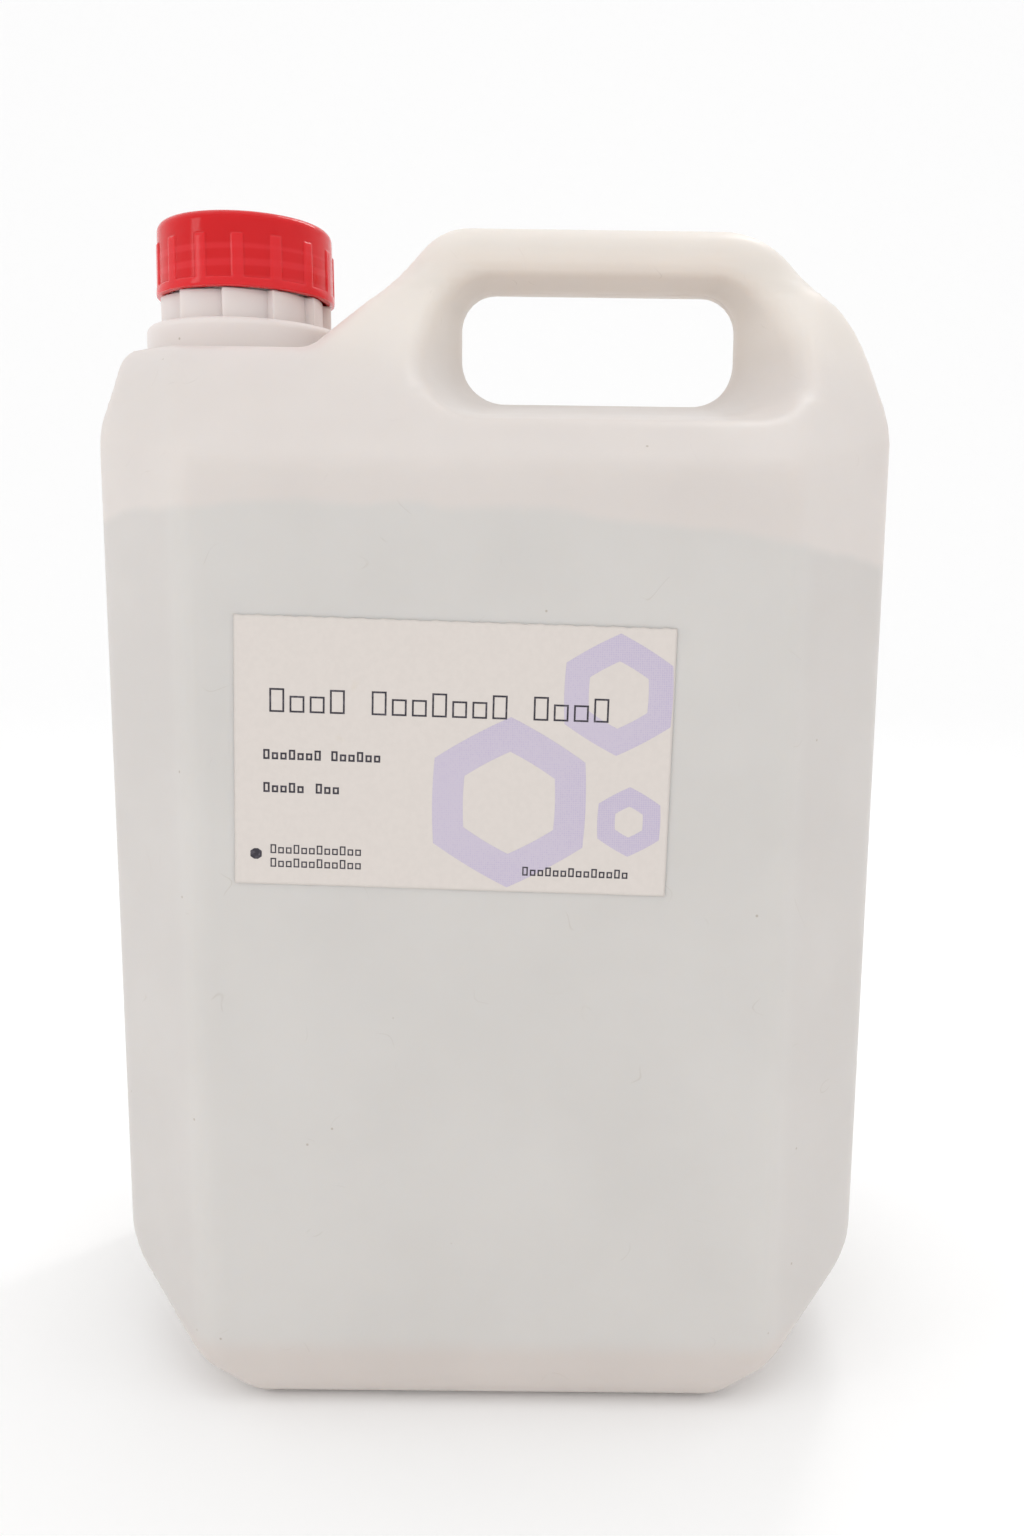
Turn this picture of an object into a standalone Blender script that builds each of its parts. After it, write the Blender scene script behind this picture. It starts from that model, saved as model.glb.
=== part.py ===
"""Five-litre jerrycan with a moulded-through handle and a ribbed screw cap.

The can is one hollow blow-moulded shell: an eight-sided plan, a front outline with
cut-off bottom corners, a sloping shoulder, a handle with a finger hole, and a
threaded neck with a ratchet ring.  The cap, its sealing liner, the paper label and
the liquid inside are pieces of their own.

All sizes below are in millimetres, and are turned to metres where a shape is made.
X runs along the can's width, Y through its depth (front at -Y) and Z up.  The
origin is the centre of the base.
"""

import math

import bmesh
import bpy
from mathutils import Matrix, Vector

MM = 0.001
WELD_DISTANCE = 0.00001
SHARP_ANGLE = 30  # degrees, between faces that keep a crisp edge
ARC_STEPS = 4  # chords in each rounded corner
TURN_STEPS = 36  # chords in one turn of a thread
ROUND_STEPS = 60  # chords in one turn of a solid of revolution
SMALLEST_RADIUS = 1.3  # that an inset outline's corner may shrink to
MID_ARC = 1 - math.sqrt(0.5)  # a quarter round's midpoint, as a share of its radius

# Clearances
TOUCH_GAP = 0.3  # between pieces that rest on each other

# Can: overall sizes
CAN_WIDTH = 190.0
CAN_DEPTH = 128.0
CAN_HEIGHT = 291.0
WALL = 1.3

# Can: plan, with its four corners cut off
PLAN_CORNER_X = 27.0
PLAN_CORNER_Y = 27.0
PLAN_CORNER_RADIUS = 9.0

# Can: base
BASE_CORNER_X = 35.5
BASE_CORNER_Z = 27.0
BASE_CORNER_RADIUS = 14.0
HEEL_RADIUS = 10.0

# Can: shoulder, measured down from the handle's top
SHOULDER_DROP = 64.0
SHOULDER_RADIUS = 10.0
CORNER_FOLD_RISE = 9.0  # the fold climbs this much across each cut-off corner
FACET_LEDGE_SHIFT = 9.0  # each corner's facet widens this much from fold to ledge
LEDGE_DROP = 34.0
LEDGE_RADIUS = 6.0
LEDGE_LEAN = 2.5
LEDGE_LEAN_HEIGHT = 25.0

# Handle
BAR_HEIGHT = 16.0
BAR_THICKNESS = 30.0
BAR_EDGE_RADIUS = 7.0
HANDLE_SLOPE = 48.0  # degrees, the side towards the neck
HANDLE_NECK_GAP = 23.4  # from the neck's flange to the handle's top corner
HANDLE_LEFT_RADIUS = 16.0
HANDLE_RIGHT_INSET = 25.5  # from the can's side to the handle's other top corner
HANDLE_RIGHT_RADIUS = 16.0
HANDLE_RIGHT_BEND = (4.5, 22.5)  # in from the side, down from the top
HANDLE_RIGHT_BEND_RADIUS = 25.0
HANDLE_SIDE_DROP = 48.0
HANDLE_SIDE_RADIUS = 40.0

# Finger hole and the dish around it
HOLE_LEFT_INSET = 7.5  # from the handle's top corner by the neck
HOLE_RIGHT_INSET = 33.5  # from the can's side
HOLE_HEIGHT = 27.4
HOLE_TOP_RADIUS = 9.5
HOLE_BOTTOM_RADIUS = 11.5
DISH_LEFT = 13.5  # how far the dish opens beyond the hole by the shoulder's face
DISH_RIGHT = 20.0
DISH_BELOW = 9.5
DISH_TOP_OPENING = 25.0
DISH_LIP_INSET = 8.0  # the dish's full size is reached this far inside the front face
DISH_FLOOR_HALF = 3.0

# Neck, on the mid-plane, with its flange and ratchet ring
FLANGE_INSET = 2.8  # from the can's side
FLANGE_PROUD = 6.7  # beyond the neck
FLANGE_HEIGHT = 8.3
FLANGE_EDGE = 1.8
RATCHET_PROUD = 3.1  # beyond the neck
RATCHET_TOOTH = 2.2
RATCHET_HEIGHT = 7.3
RATCHET_SINK = 1.0  # into the flange
RATCHET_TEETH = 11
RATCHET_STEPS = 4  # chords along each tooth's ramp
RATCHET_RAMP = 0.999  # of each tooth's pitch; the rest is its steep face
RATCHET_TURN = -3.3  # degrees from the front, towards +X, of one tooth's steep face
NECK_RADIUS = 18.7
NECK_WALL = 1.8
NECK_HEIGHT = 30.1  # from the ledge to the rim
RIM_EDGE = 0.5
BORE_REACH = 14.0  # of the bore's cutter, past the ledge and past the rim

# Thread, right-handed
THREAD_PITCH = 4.0
THREAD_RADIUS = 1.15  # of the round ridge
NECK_THREAD_TURNS = 2.0
NECK_THREAD_TOP = 2.6  # from the rim down to the last turn's centre
CAP_THREAD_TURNS = 1.75
CAP_THREAD_FLOOR = 2.3  # from the cap's lower edge up to its first turn's centre
THREAD_SINK = 0.1  # how far a ridge's centre lies off the wall, inside the plastic
THREAD_CREST_GAP = 0.55  # between the cap's wall and the neck thread's crest

# Cap
CAP_WALL = 1.45
CAP_PLATE = 2.0
CAP_EDGE_RADIUS = 2.4
CAP_EDGE_STEPS = 4
CAP_FLARE = 0.25
CAP_RATCHET_GAP = 0.45
CAP_BEAD_HEIGHT = 2.2
CAP_BEAD_PROUD = 0.75
CAP_BEAD_EDGE = 0.5
CAP_RIBS = 15
CAP_RIB_WIDTH = 2.8
CAP_RIB_PROUD = 0.6
CAP_RIB_HEIGHT = 10.2
CAP_RIB_SINK = 0.6  # into the bead below
CAP_RIB_TURN = 7.8  # degrees from the front, towards +X, of one rib

# Liner
LINER_THICKNESS = 1.2
LINER_SIDE_GAP = 0.5

# Label
LABEL_WIDTH = 99.0
LABEL_HEIGHT = 61.5
LABEL_THICKNESS = 0.15
LABEL_CORNER = 0.8
LABEL_ARC_STEPS = 2
LABEL_X = -8.0
LABEL_DROP = 128.3  # from the handle's top down to the label's middle
LABEL_TURN = -1.2  # degrees, clockwise seen from the front

# Liquid
FILL_DROP = 75.0  # from the handle's top down to the liquid's surface

# Worked out from the sizes above
HALF_WIDTH = CAN_WIDTH / 2
HALF_DEPTH = CAN_DEPTH / 2
CUT_REACH = CAN_WIDTH
SHOULDER_Z = CAN_HEIGHT - SHOULDER_DROP
LEDGE_Z = CAN_HEIGHT - LEDGE_DROP
FLANGE_RADIUS = NECK_RADIUS + FLANGE_PROUD
RATCHET_RADIUS = NECK_RADIUS + RATCHET_PROUD
NECK_X = FLANGE_INSET + FLANGE_RADIUS - HALF_WIDTH
HANDLE_LEFT_TOP = NECK_X + FLANGE_RADIUS + HANDLE_NECK_GAP
HANDLE_RIGHT_TOP = HALF_WIDTH - HANDLE_RIGHT_INSET
HOLE_LEFT = HANDLE_LEFT_TOP + HOLE_LEFT_INSET
HOLE_RIGHT = HALF_WIDTH - HOLE_RIGHT_INSET
HOLE_TOP = CAN_HEIGHT - BAR_HEIGHT
HOLE_BOTTOM = HOLE_TOP - HOLE_HEIGHT
FLANGE_TOP = LEDGE_Z + FLANGE_HEIGHT
RATCHET_TOP = FLANGE_TOP + RATCHET_HEIGHT
RIM_Z = LEDGE_Z + NECK_HEIGHT
CAP_BOTTOM = RATCHET_TOP + CAP_RATCHET_GAP
LINER_BOTTOM = RIM_Z + TOUCH_GAP
PLATE_UNDERSIDE = LINER_BOTTOM + LINER_THICKNESS + TOUCH_GAP
CAP_TOP = PLATE_UNDERSIDE + CAP_PLATE
THREAD_CREST = NECK_RADIUS + THREAD_SINK + THREAD_RADIUS
CAP_BORE = THREAD_CREST + THREAD_CREST_GAP
CAP_RADIUS = CAP_BORE + CAP_WALL
LABEL_Z = CAN_HEIGHT - LABEL_DROP
FILL_Z = CAN_HEIGHT - FILL_DROP

# Local outline axes to world axes, for each plane an outline can lie in
PLANES = {
    "XY": Matrix(((1, 0, 0), (0, 1, 0), (0, 0, 1))).to_4x4(),
    "XZ": Matrix(((1, 0, 0), (0, 0, -1), (0, 1, 0))).to_4x4(),
    "YZ": Matrix(((0, 0, 1), (1, 0, 0), (0, 1, 0))).to_4x4(),
}


# ---------------------------------------------------------------- outlines


def inset_corners(corners, inset):
    """Moves every side of a counter-clockwise outline inwards by inset.

    A corner is (x, y, radius); outer corners tighten and inner ones widen.
    """
    moved = []
    count = len(corners)
    for i in range(count):
        before = Vector(corners[i - 1][:2])
        here = Vector(corners[i][:2])
        after = Vector(corners[(i + 1) % count][:2])
        into = (here - before).normalized()
        out = (after - here).normalized()
        normal_in = Vector((-into.y, into.x))
        normal_out = Vector((-out.y, out.x))
        turn = into.x * out.y - into.y * out.x
        shift = (normal_in + normal_out) * (inset / (1 + normal_in.dot(normal_out)))
        radius = max(corners[i][2] - math.copysign(inset, turn), SMALLEST_RADIUS)
        moved.append((here.x + shift.x, here.y + shift.y, radius))
    return moved


def round_corners(corners, steps=ARC_STEPS):
    """Replaces every (x, y, radius) corner by an arc of steps chords."""
    points = []
    count = len(corners)
    for i in range(count):
        before = Vector(corners[i - 1][:2])
        here = Vector(corners[i][:2])
        after = Vector(corners[(i + 1) % count][:2])
        into = (here - before).normalized()
        out = (after - here).normalized()
        turn = math.atan2(into.x * out.y - into.y * out.x, into.dot(out))
        radius = corners[i][2]
        cut = radius * math.tan(abs(turn) / 2)
        side = math.copysign(1, turn)
        centre = here - into * cut + Vector((-into.y, into.x)) * radius * side
        spoke = here - into * cut - centre
        for step in range(steps + 1):
            angle = turn * step / steps
            turned = Matrix.Rotation(angle, 2) @ spoke
            points.append((centre.x + turned.x, centre.y + turned.y))
    return points


def front_corners():
    """The can's outline seen from the front, counter-clockwise from the base."""
    slope = math.tan(math.radians(HANDLE_SLOPE))
    handle_foot = HANDLE_LEFT_TOP - (CAN_HEIGHT - LEDGE_Z) / slope
    bend_in, bend_down = HANDLE_RIGHT_BEND
    base_half = HALF_WIDTH - BASE_CORNER_X
    return [
        (-base_half, 0, BASE_CORNER_RADIUS),
        (base_half, 0, BASE_CORNER_RADIUS),
        (HALF_WIDTH, BASE_CORNER_Z, BASE_CORNER_RADIUS),
        (HALF_WIDTH, CAN_HEIGHT - HANDLE_SIDE_DROP, HANDLE_SIDE_RADIUS),
        (HALF_WIDTH - bend_in, CAN_HEIGHT - bend_down, HANDLE_RIGHT_BEND_RADIUS),
        (HANDLE_RIGHT_TOP, CAN_HEIGHT, HANDLE_RIGHT_RADIUS),
        (HANDLE_LEFT_TOP, CAN_HEIGHT, HANDLE_LEFT_RADIUS),
        (handle_foot, LEDGE_Z, LEDGE_RADIUS),
        (-HALF_WIDTH + LEDGE_LEAN, LEDGE_Z, LEDGE_RADIUS),
        (-HALF_WIDTH, LEDGE_Z - LEDGE_LEAN_HEIGHT, HANDLE_SIDE_RADIUS),
        (-HALF_WIDTH, BASE_CORNER_Z, BASE_CORNER_RADIUS),
    ]


def side_corners():
    """The can's outline seen from the side: walls, shoulder slopes and handle bar."""
    bar = BAR_THICKNESS / 2
    right = [
        (HALF_DEPTH, 0, HEEL_RADIUS),
        (HALF_DEPTH, SHOULDER_Z, SHOULDER_RADIUS),
        (bar, HOLE_TOP, SHOULDER_RADIUS),
        (bar, CAN_HEIGHT, BAR_EDGE_RADIUS),
    ]
    left = [(-y, z, radius) for y, z, radius in reversed(right)]
    return right + left


def plan_corners():
    """The can's outline seen from above: a rectangle with cut-off corners."""
    corners = []
    for sx, sy in ((1, -1), (1, 1), (-1, 1), (-1, -1)):
        near = (sx * (HALF_WIDTH - PLAN_CORNER_X), sy * HALF_DEPTH, PLAN_CORNER_RADIUS)
        far = (sx * HALF_WIDTH, sy * (HALF_DEPTH - PLAN_CORNER_Y), PLAN_CORNER_RADIUS)
        corners += [near, far] if sx * sy < 0 else [far, near]
    return corners


def hole_corners():
    """The finger hole's outline seen from the front."""
    return [
        (HOLE_LEFT, HOLE_BOTTOM, HOLE_BOTTOM_RADIUS),
        (HOLE_RIGHT, HOLE_BOTTOM, HOLE_BOTTOM_RADIUS),
        (HOLE_RIGHT, HOLE_TOP, HOLE_TOP_RADIUS),
        (HOLE_LEFT, HOLE_TOP, HOLE_TOP_RADIUS),
    ]


# ------------------------------------------------------------- mesh helpers


def new_collection(name):
    """A new collection in the scene."""
    collection = bpy.data.collections.new(name)
    bpy.context.scene.collection.children.link(collection)
    return collection


def mesh_of_curve(name, curve, matrix, collection):
    """Turns a curve into a closed mesh object placed by matrix, in millimetre units."""
    temporary = bpy.data.objects.new(name + "_curve", curve)
    collection.objects.link(temporary)
    graph = bpy.context.evaluated_depsgraph_get()
    mesh = bpy.data.meshes.new_from_object(temporary.evaluated_get(graph))
    bpy.data.objects.remove(temporary)
    bpy.data.curves.remove(curve)
    mesh.name = name
    work = bmesh.new()
    work.from_mesh(mesh)
    bmesh.ops.remove_doubles(work, verts=work.verts, dist=WELD_DISTANCE)
    bmesh.ops.transform(work, matrix=matrix, verts=work.verts)
    bmesh.ops.recalc_face_normals(work, faces=work.faces)
    work.to_mesh(mesh)
    work.free()
    obj = bpy.data.objects.new(name, mesh)
    collection.objects.link(obj)
    return obj


def prism(name, points, low, high, plane, collection):
    """A flat outline carried from low to high across its plane, all in millimetres."""
    curve = bpy.data.curves.new(name, "CURVE")
    curve.dimensions = "2D"
    curve.fill_mode = "BOTH"
    curve.extrude = (high - low) / 2 * MM
    spline = curve.splines.new("POLY")
    spline.points.add(len(points) - 1)
    for point, (x, y) in zip(spline.points, points):
        point.co = (x * MM, y * MM, 0, 1)
    spline.use_cyclic_u = True
    middle = (low + high) / 2 * MM
    if plane == "XZ":
        middle = -middle
    place = PLANES[plane] @ Matrix.Translation((0, 0, middle))
    return mesh_of_curve(name, curve, place, collection)


def turned(name, profile, centre_x, collection):
    """A solid of revolution about an upright axis at centre_x.

    The profile is a list of (radius, z) from the axis at the top, down the outer
    side, and back to the axis at the bottom.
    """
    mesh = bpy.data.meshes.new(name)
    points = [(radius * MM, 0, z * MM) for radius, z in profile]
    mesh.from_pydata(points, [(i, i + 1) for i in range(len(points) - 1)], [])
    obj = bpy.data.objects.new(name, mesh)
    obj.location.x = centre_x * MM
    collection.objects.link(obj)
    screw = obj.modifiers.new("Turn", "SCREW")
    screw.axis = "Z"
    screw.steps = ROUND_STEPS
    screw.render_steps = ROUND_STEPS
    screw.use_merge_vertices = True
    screw.merge_threshold = WELD_DISTANCE
    return obj


def helix_ridge(name, radius, start_z, turns, start_angle, centre_x, collection):
    """A round ridge along a right-handed helix, with capped ends."""
    count = round(turns * TURN_STEPS)
    curve = bpy.data.curves.new(name, "CURVE")
    curve.dimensions = "3D"
    curve.bevel_depth = THREAD_RADIUS * MM
    curve.bevel_resolution = 1
    curve.use_fill_caps = True
    spline = curve.splines.new("POLY")
    spline.points.add(count)
    for i, point in enumerate(spline.points):
        turn = i / TURN_STEPS
        angle = math.radians(start_angle) + turn * math.tau
        x = radius * math.cos(angle)
        y = radius * math.sin(angle)
        point.co = (x * MM, y * MM, (start_z + turn * THREAD_PITCH) * MM, 1)
    place = Matrix.Translation((centre_x * MM, 0, 0))
    return mesh_of_curve(name, curve, place, collection)


def join(target, tool, operation):
    """Adds an exact Boolean of target with tool."""
    modifier = target.modifiers.new(f"{operation.title()} {tool.name}", "BOOLEAN")
    modifier.operation = operation
    modifier.solver = "EXACT"
    modifier.object = tool


def hide_cutter(obj):
    """Marks a helper shape that only cuts or adds to others."""
    obj.hide_render = True
    obj.display_type = "WIRE"


def dress(obj, name, colour, roughness, alpha=1.0):
    """Gives obj a plastic, paper or liquid material and smooth shading."""
    material = bpy.data.materials.new(name)
    material.use_nodes = True
    shader = material.node_tree.nodes["Principled BSDF"]
    shader.inputs["Base Color"].default_value = (*colour, 1)
    shader.inputs["Roughness"].default_value = roughness
    shader.inputs["Metallic"].default_value = 0
    shader.inputs["Alpha"].default_value = alpha
    material.diffuse_color = (*colour, alpha)
    obj.data.materials.clear()
    obj.data.materials.append(material)
    obj.data.shade_smooth()
    obj.data.set_sharp_from_angle(angle=math.radians(SHARP_ANGLE))


# -------------------------------------------------------------- can's shape


def corner_wedge(name, sx, sy, inset, cutters):
    """A block whose face is the sloping facet above one cut-off corner.

    The facet runs through the fold across the corner, and on to where the
    shoulder's slope reaches the ledge.
    """
    front = Vector((HALF_WIDTH - PLAN_CORNER_X, HALF_DEPTH, SHOULDER_Z))
    side = Vector((HALF_WIDTH, HALF_DEPTH - PLAN_CORNER_Y, SHOULDER_Z + CORNER_FOLD_RISE))
    rise = LEDGE_Z - SHOULDER_Z
    slope_in = (HALF_DEPTH - BAR_THICKNESS / 2) / (HOLE_TOP - SHOULDER_Z)
    ledge = Vector((front.x + FACET_LEDGE_SHIFT, HALF_DEPTH - rise * slope_in, LEDGE_Z))
    normal = (side - front).cross(ledge - front).normalized()
    if normal.z < 0:
        normal = -normal
    point = front - normal * inset
    mirror = Vector((sx, sy, 1))
    normal = normal * mirror
    point = point * mirror * MM
    size = CAN_WIDTH * MM
    mesh = bpy.data.meshes.new(name)
    work = bmesh.new()
    bmesh.ops.create_cube(work, size=size)
    turn = Vector((0, 0, 1)).rotation_difference(normal).to_matrix().to_4x4()
    lift = Matrix.Translation((0, 0, size / 2))
    bmesh.ops.transform(work, matrix=Matrix.Translation(point) @ turn @ lift, verts=work.verts)
    work.to_mesh(mesh)
    work.free()
    obj = bpy.data.objects.new(name, mesh)
    cutters.objects.link(obj)
    hide_cutter(obj)
    return obj


def dish_cutter(name, side, inset, cutters):
    """A funnel from the handle's middle out through the shoulder's face.

    It is a loft between the finger hole's outline near the mid-plane and a
    wider one near the face; inset widens it, for the shell's inner side.
    """
    narrow = inset_corners(hole_corners(), -inset)
    depth = HALF_DEPTH - DISH_LIP_INSET - DISH_FLOOR_HALF
    wide = []
    for (x, z, radius), dx, dz in zip(
        narrow,
        (-DISH_LEFT, DISH_RIGHT, DISH_RIGHT, -DISH_LEFT),
        (-DISH_BELOW, -DISH_BELOW, DISH_TOP_OPENING, DISH_TOP_OPENING),
    ):
        wide.append((x + dx, z + dz, radius + DISH_BELOW))
    rings = []
    for share in (0, 1, 2):
        corners = []
        for near, far in zip(narrow, wide):
            corners.append(tuple(a + (b - a) * share for a, b in zip(near, far)))
        y = side * (DISH_FLOOR_HALF - inset + depth * share)
        rings.append([(x * MM, y * MM, z * MM) for x, z in round_corners(corners)])
    work = bmesh.new()
    loops = [[work.verts.new(point) for point in ring] for ring in rings]
    count = len(loops[0])
    for lower, upper in zip(loops, loops[1:]):
        for i in range(count):
            j = (i + 1) % count
            work.faces.new((lower[i], lower[j], upper[j], upper[i]))
    work.faces.new(loops[0])
    work.faces.new(loops[-1])
    bmesh.ops.recalc_face_normals(work, faces=work.faces)
    mesh = bpy.data.meshes.new(name)
    work.to_mesh(mesh)
    work.free()
    obj = bpy.data.objects.new(name, mesh)
    cutters.objects.link(obj)
    hide_cutter(obj)
    return obj


def can_solid(name, inset, collection, cutters, with_handle=True):
    """The can's outer form, drawn in by inset all round.

    It is what the front, side and plan outlines have in common, less the four
    shoulder facets, the two dishes and the finger hole.
    """
    front = round_corners(inset_corners(front_corners(), inset))
    side = round_corners(inset_corners(side_corners(), inset))
    plan = round_corners(inset_corners(plan_corners(), inset))
    solid = prism(name, front, -CUT_REACH, CUT_REACH, "XZ", collection)
    side_tool = prism(name + "_side", side, -CUT_REACH, CUT_REACH, "YZ", cutters)
    plan_tool = prism(name + "_plan", plan, -CUT_REACH, 2 * CUT_REACH, "XY", cutters)
    for tool in (side_tool, plan_tool):
        hide_cutter(tool)
        join(solid, tool, "INTERSECT")
    for sx, sy in ((1, 1), (1, -1), (-1, 1), (-1, -1)):
        wedge = corner_wedge(f"{name}_facet_{sx}_{sy}", sx, sy, inset, cutters)
        join(solid, wedge, "DIFFERENCE")
    if with_handle:
        hole = round_corners(inset_corners(hole_corners(), -inset))
        hole_tool = prism(name + "_hole", hole, -CUT_REACH, CUT_REACH, "XZ", cutters)
        hide_cutter(hole_tool)
        join(solid, hole_tool, "DIFFERENCE")
        for side_sign, label in ((-1, "front"), (1, "back")):
            dish = dish_cutter(f"{name}_dish_{label}", side_sign, inset, cutters)
            join(solid, dish, "DIFFERENCE")
    return solid


def ratchet_outline():
    """Saw-tooth outline of the ratchet ring, about its own centre."""
    points = []
    pitch = 360 / RATCHET_TEETH
    for tooth in range(RATCHET_TEETH):
        for step in range(RATCHET_STEPS + 1):
            share = step / RATCHET_STEPS
            radius = RATCHET_RADIUS - RATCHET_TOOTH * share
            angle = math.radians(-90 + RATCHET_TURN + pitch * (tooth + share * RATCHET_RAMP))
            points.append((NECK_X + radius * math.cos(angle), radius * math.sin(angle)))
    return points


def neck_solid(cutters):
    """Flange, ratchet ring, neck and its thread, as one solid to join to the can."""
    root = LEDGE_Z - WALL - FLANGE_EDGE
    profile = [
        (0, RIM_Z),
        (NECK_RADIUS - RIM_EDGE, RIM_Z),
        (NECK_RADIUS, RIM_Z - RIM_EDGE),
        (NECK_RADIUS, FLANGE_TOP),
        (FLANGE_RADIUS - FLANGE_EDGE, FLANGE_TOP),
        (FLANGE_RADIUS - FLANGE_EDGE * MID_ARC, FLANGE_TOP - FLANGE_EDGE * MID_ARC),
        (FLANGE_RADIUS, FLANGE_TOP - FLANGE_EDGE),
        (FLANGE_RADIUS, root),
        (0, root),
    ]
    neck = turned("neck", profile, NECK_X, cutters)
    ring_foot = FLANGE_TOP - RATCHET_SINK
    ring = prism("neck_ratchet", ratchet_outline(), ring_foot, RATCHET_TOP, "XY", cutters)
    top = RIM_Z - NECK_THREAD_TOP
    start = top - NECK_THREAD_TURNS * THREAD_PITCH
    thread = helix_ridge(
        "neck_thread", NECK_RADIUS + THREAD_SINK, start, NECK_THREAD_TURNS, 0, NECK_X, cutters
    )
    for tool in (neck, ring, thread):
        hide_cutter(tool)
    join(neck, ring, "UNION")
    join(neck, thread, "UNION")
    return neck


# ------------------------------------------------------------------ pieces


def build_can(parts, cutters):
    """The hollow can: outer form and neck, less the inside and the neck's bore."""
    can = can_solid("canister_body", 0, parts, cutters)
    inside = can_solid("can_inside", WALL, cutters, cutters)
    hide_cutter(inside)
    bore_profile = [
        (0, RIM_Z + BORE_REACH),
        (NECK_RADIUS - NECK_WALL, RIM_Z + BORE_REACH),
        (NECK_RADIUS - NECK_WALL, LEDGE_Z - BORE_REACH),
        (0, LEDGE_Z - BORE_REACH),
    ]
    bore = turned("neck_bore", bore_profile, NECK_X, cutters)
    hide_cutter(bore)
    join(can, neck_solid(cutters), "UNION")
    join(can, inside, "DIFFERENCE")
    join(can, bore, "DIFFERENCE")
    dress(can, "natural_hdpe", (0.80, 0.76, 0.73), 0.45)
    return can


def build_cap(parts, cutters):
    """Ribbed cap with a beaded lower edge and a round-ridged thread inside."""
    bead_top = CAP_BOTTOM + CAP_BEAD_HEIGHT
    top_radius = CAP_RADIUS - CAP_EDGE_RADIUS
    profile = [(0, CAP_TOP)]
    for step in range(CAP_EDGE_STEPS + 1):
        angle = math.radians(90 * step / CAP_EDGE_STEPS)
        across = top_radius + CAP_EDGE_RADIUS * math.sin(angle)
        profile.append((across, CAP_TOP - CAP_EDGE_RADIUS * (1 - math.cos(angle))))
    profile += [
        (CAP_RADIUS + CAP_FLARE, bead_top),
        (CAP_RADIUS + CAP_BEAD_PROUD, bead_top - CAP_BEAD_EDGE),
        (CAP_RADIUS + CAP_BEAD_PROUD, CAP_BOTTOM + CAP_BEAD_EDGE),
        (CAP_RADIUS + CAP_FLARE, CAP_BOTTOM),
        (CAP_BORE, CAP_BOTTOM),
        (CAP_BORE, PLATE_UNDERSIDE),
        (0, PLATE_UNDERSIDE),
    ]
    cap = turned("screw_cap", profile, NECK_X, parts)
    reach = CAP_RADIUS + CAP_RIB_PROUD
    for rib in range(CAP_RIBS):
        angle = math.radians(-90 + CAP_RIB_TURN + 360 * rib / CAP_RIBS)
        join(cap, rib_block(rib, angle, reach, bead_top, cutters), "UNION")
    # The cap's ridge runs half a pitch off the neck's, so that they interleave.
    neck_start = RIM_Z - NECK_THREAD_TOP - NECK_THREAD_TURNS * THREAD_PITCH
    wanted = CAP_BOTTOM + CAP_THREAD_FLOOR
    turns_up = (wanted - neck_start - THREAD_PITCH / 2) / THREAD_PITCH
    start_angle = 360 * (turns_up - math.floor(turns_up))
    ridge = helix_ridge(
        "cap_thread", CAP_BORE + THREAD_SINK, wanted, CAP_THREAD_TURNS, start_angle, 0, cutters
    )
    ridge.location.x = NECK_X * MM
    hide_cutter(ridge)
    join(cap, ridge, "UNION")
    dress(cap, "red_polypropylene", (0.72, 0.02, 0.03), 0.25)
    return cap


def rib_block(index, angle, reach, low, cutters):
    """One upright grip rib, from inside the cap's wall out to reach."""
    root = CAP_BORE + CAP_WALL / 2
    height = CAP_RIB_HEIGHT + CAP_RIB_SINK
    mesh = bpy.data.meshes.new(f"cap_rib_{index}")
    work = bmesh.new()
    bmesh.ops.create_cube(work, size=1)
    size = ((reach - root) * MM, CAP_RIB_WIDTH * MM, height * MM)
    middle = ((reach + root) / 2 * MM, 0, (low - CAP_RIB_SINK + height / 2) * MM)
    bmesh.ops.scale(work, vec=size, verts=work.verts)
    bmesh.ops.translate(work, vec=middle, verts=work.verts)
    work.to_mesh(mesh)
    work.free()
    obj = bpy.data.objects.new(mesh.name, mesh)
    obj.location.x = NECK_X * MM
    obj.rotation_euler.z = angle
    cutters.objects.link(obj)
    hide_cutter(obj)
    return obj


def build_liner(parts):
    """Foam sealing disc between the cap's plate and the neck's rim."""
    radius = CAP_BORE - LINER_SIDE_GAP
    top = LINER_BOTTOM + LINER_THICKNESS
    profile = [(0, top), (radius, top), (radius, LINER_BOTTOM), (0, LINER_BOTTOM)]
    liner = turned("cap_liner", profile, NECK_X, parts)
    dress(liner, "polyethylene_foam", (0.85, 0.85, 0.83), 0.8)
    return liner


def build_label(parts):
    """Paper label stuck on the front face, slightly out of level."""
    half_w = LABEL_WIDTH / 2
    half_h = LABEL_HEIGHT / 2
    corners = [(-half_w, -half_h), (half_w, -half_h), (half_w, half_h), (-half_w, half_h)]
    outline = round_corners([(x, z, LABEL_CORNER) for x, z in corners], LABEL_ARC_STEPS)
    turn = Matrix.Rotation(math.radians(LABEL_TURN), 2)
    placed = []
    for point in outline:
        turned_point = turn @ Vector(point)
        placed.append((LABEL_X + turned_point.x, LABEL_Z + turned_point.y))
    back = HALF_DEPTH + TOUCH_GAP
    label = prism("label", placed, -back - LABEL_THICKNESS, -back, "XZ", parts)
    dress(label, "coated_paper", (0.83, 0.79, 0.76), 0.6)
    return label


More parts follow.
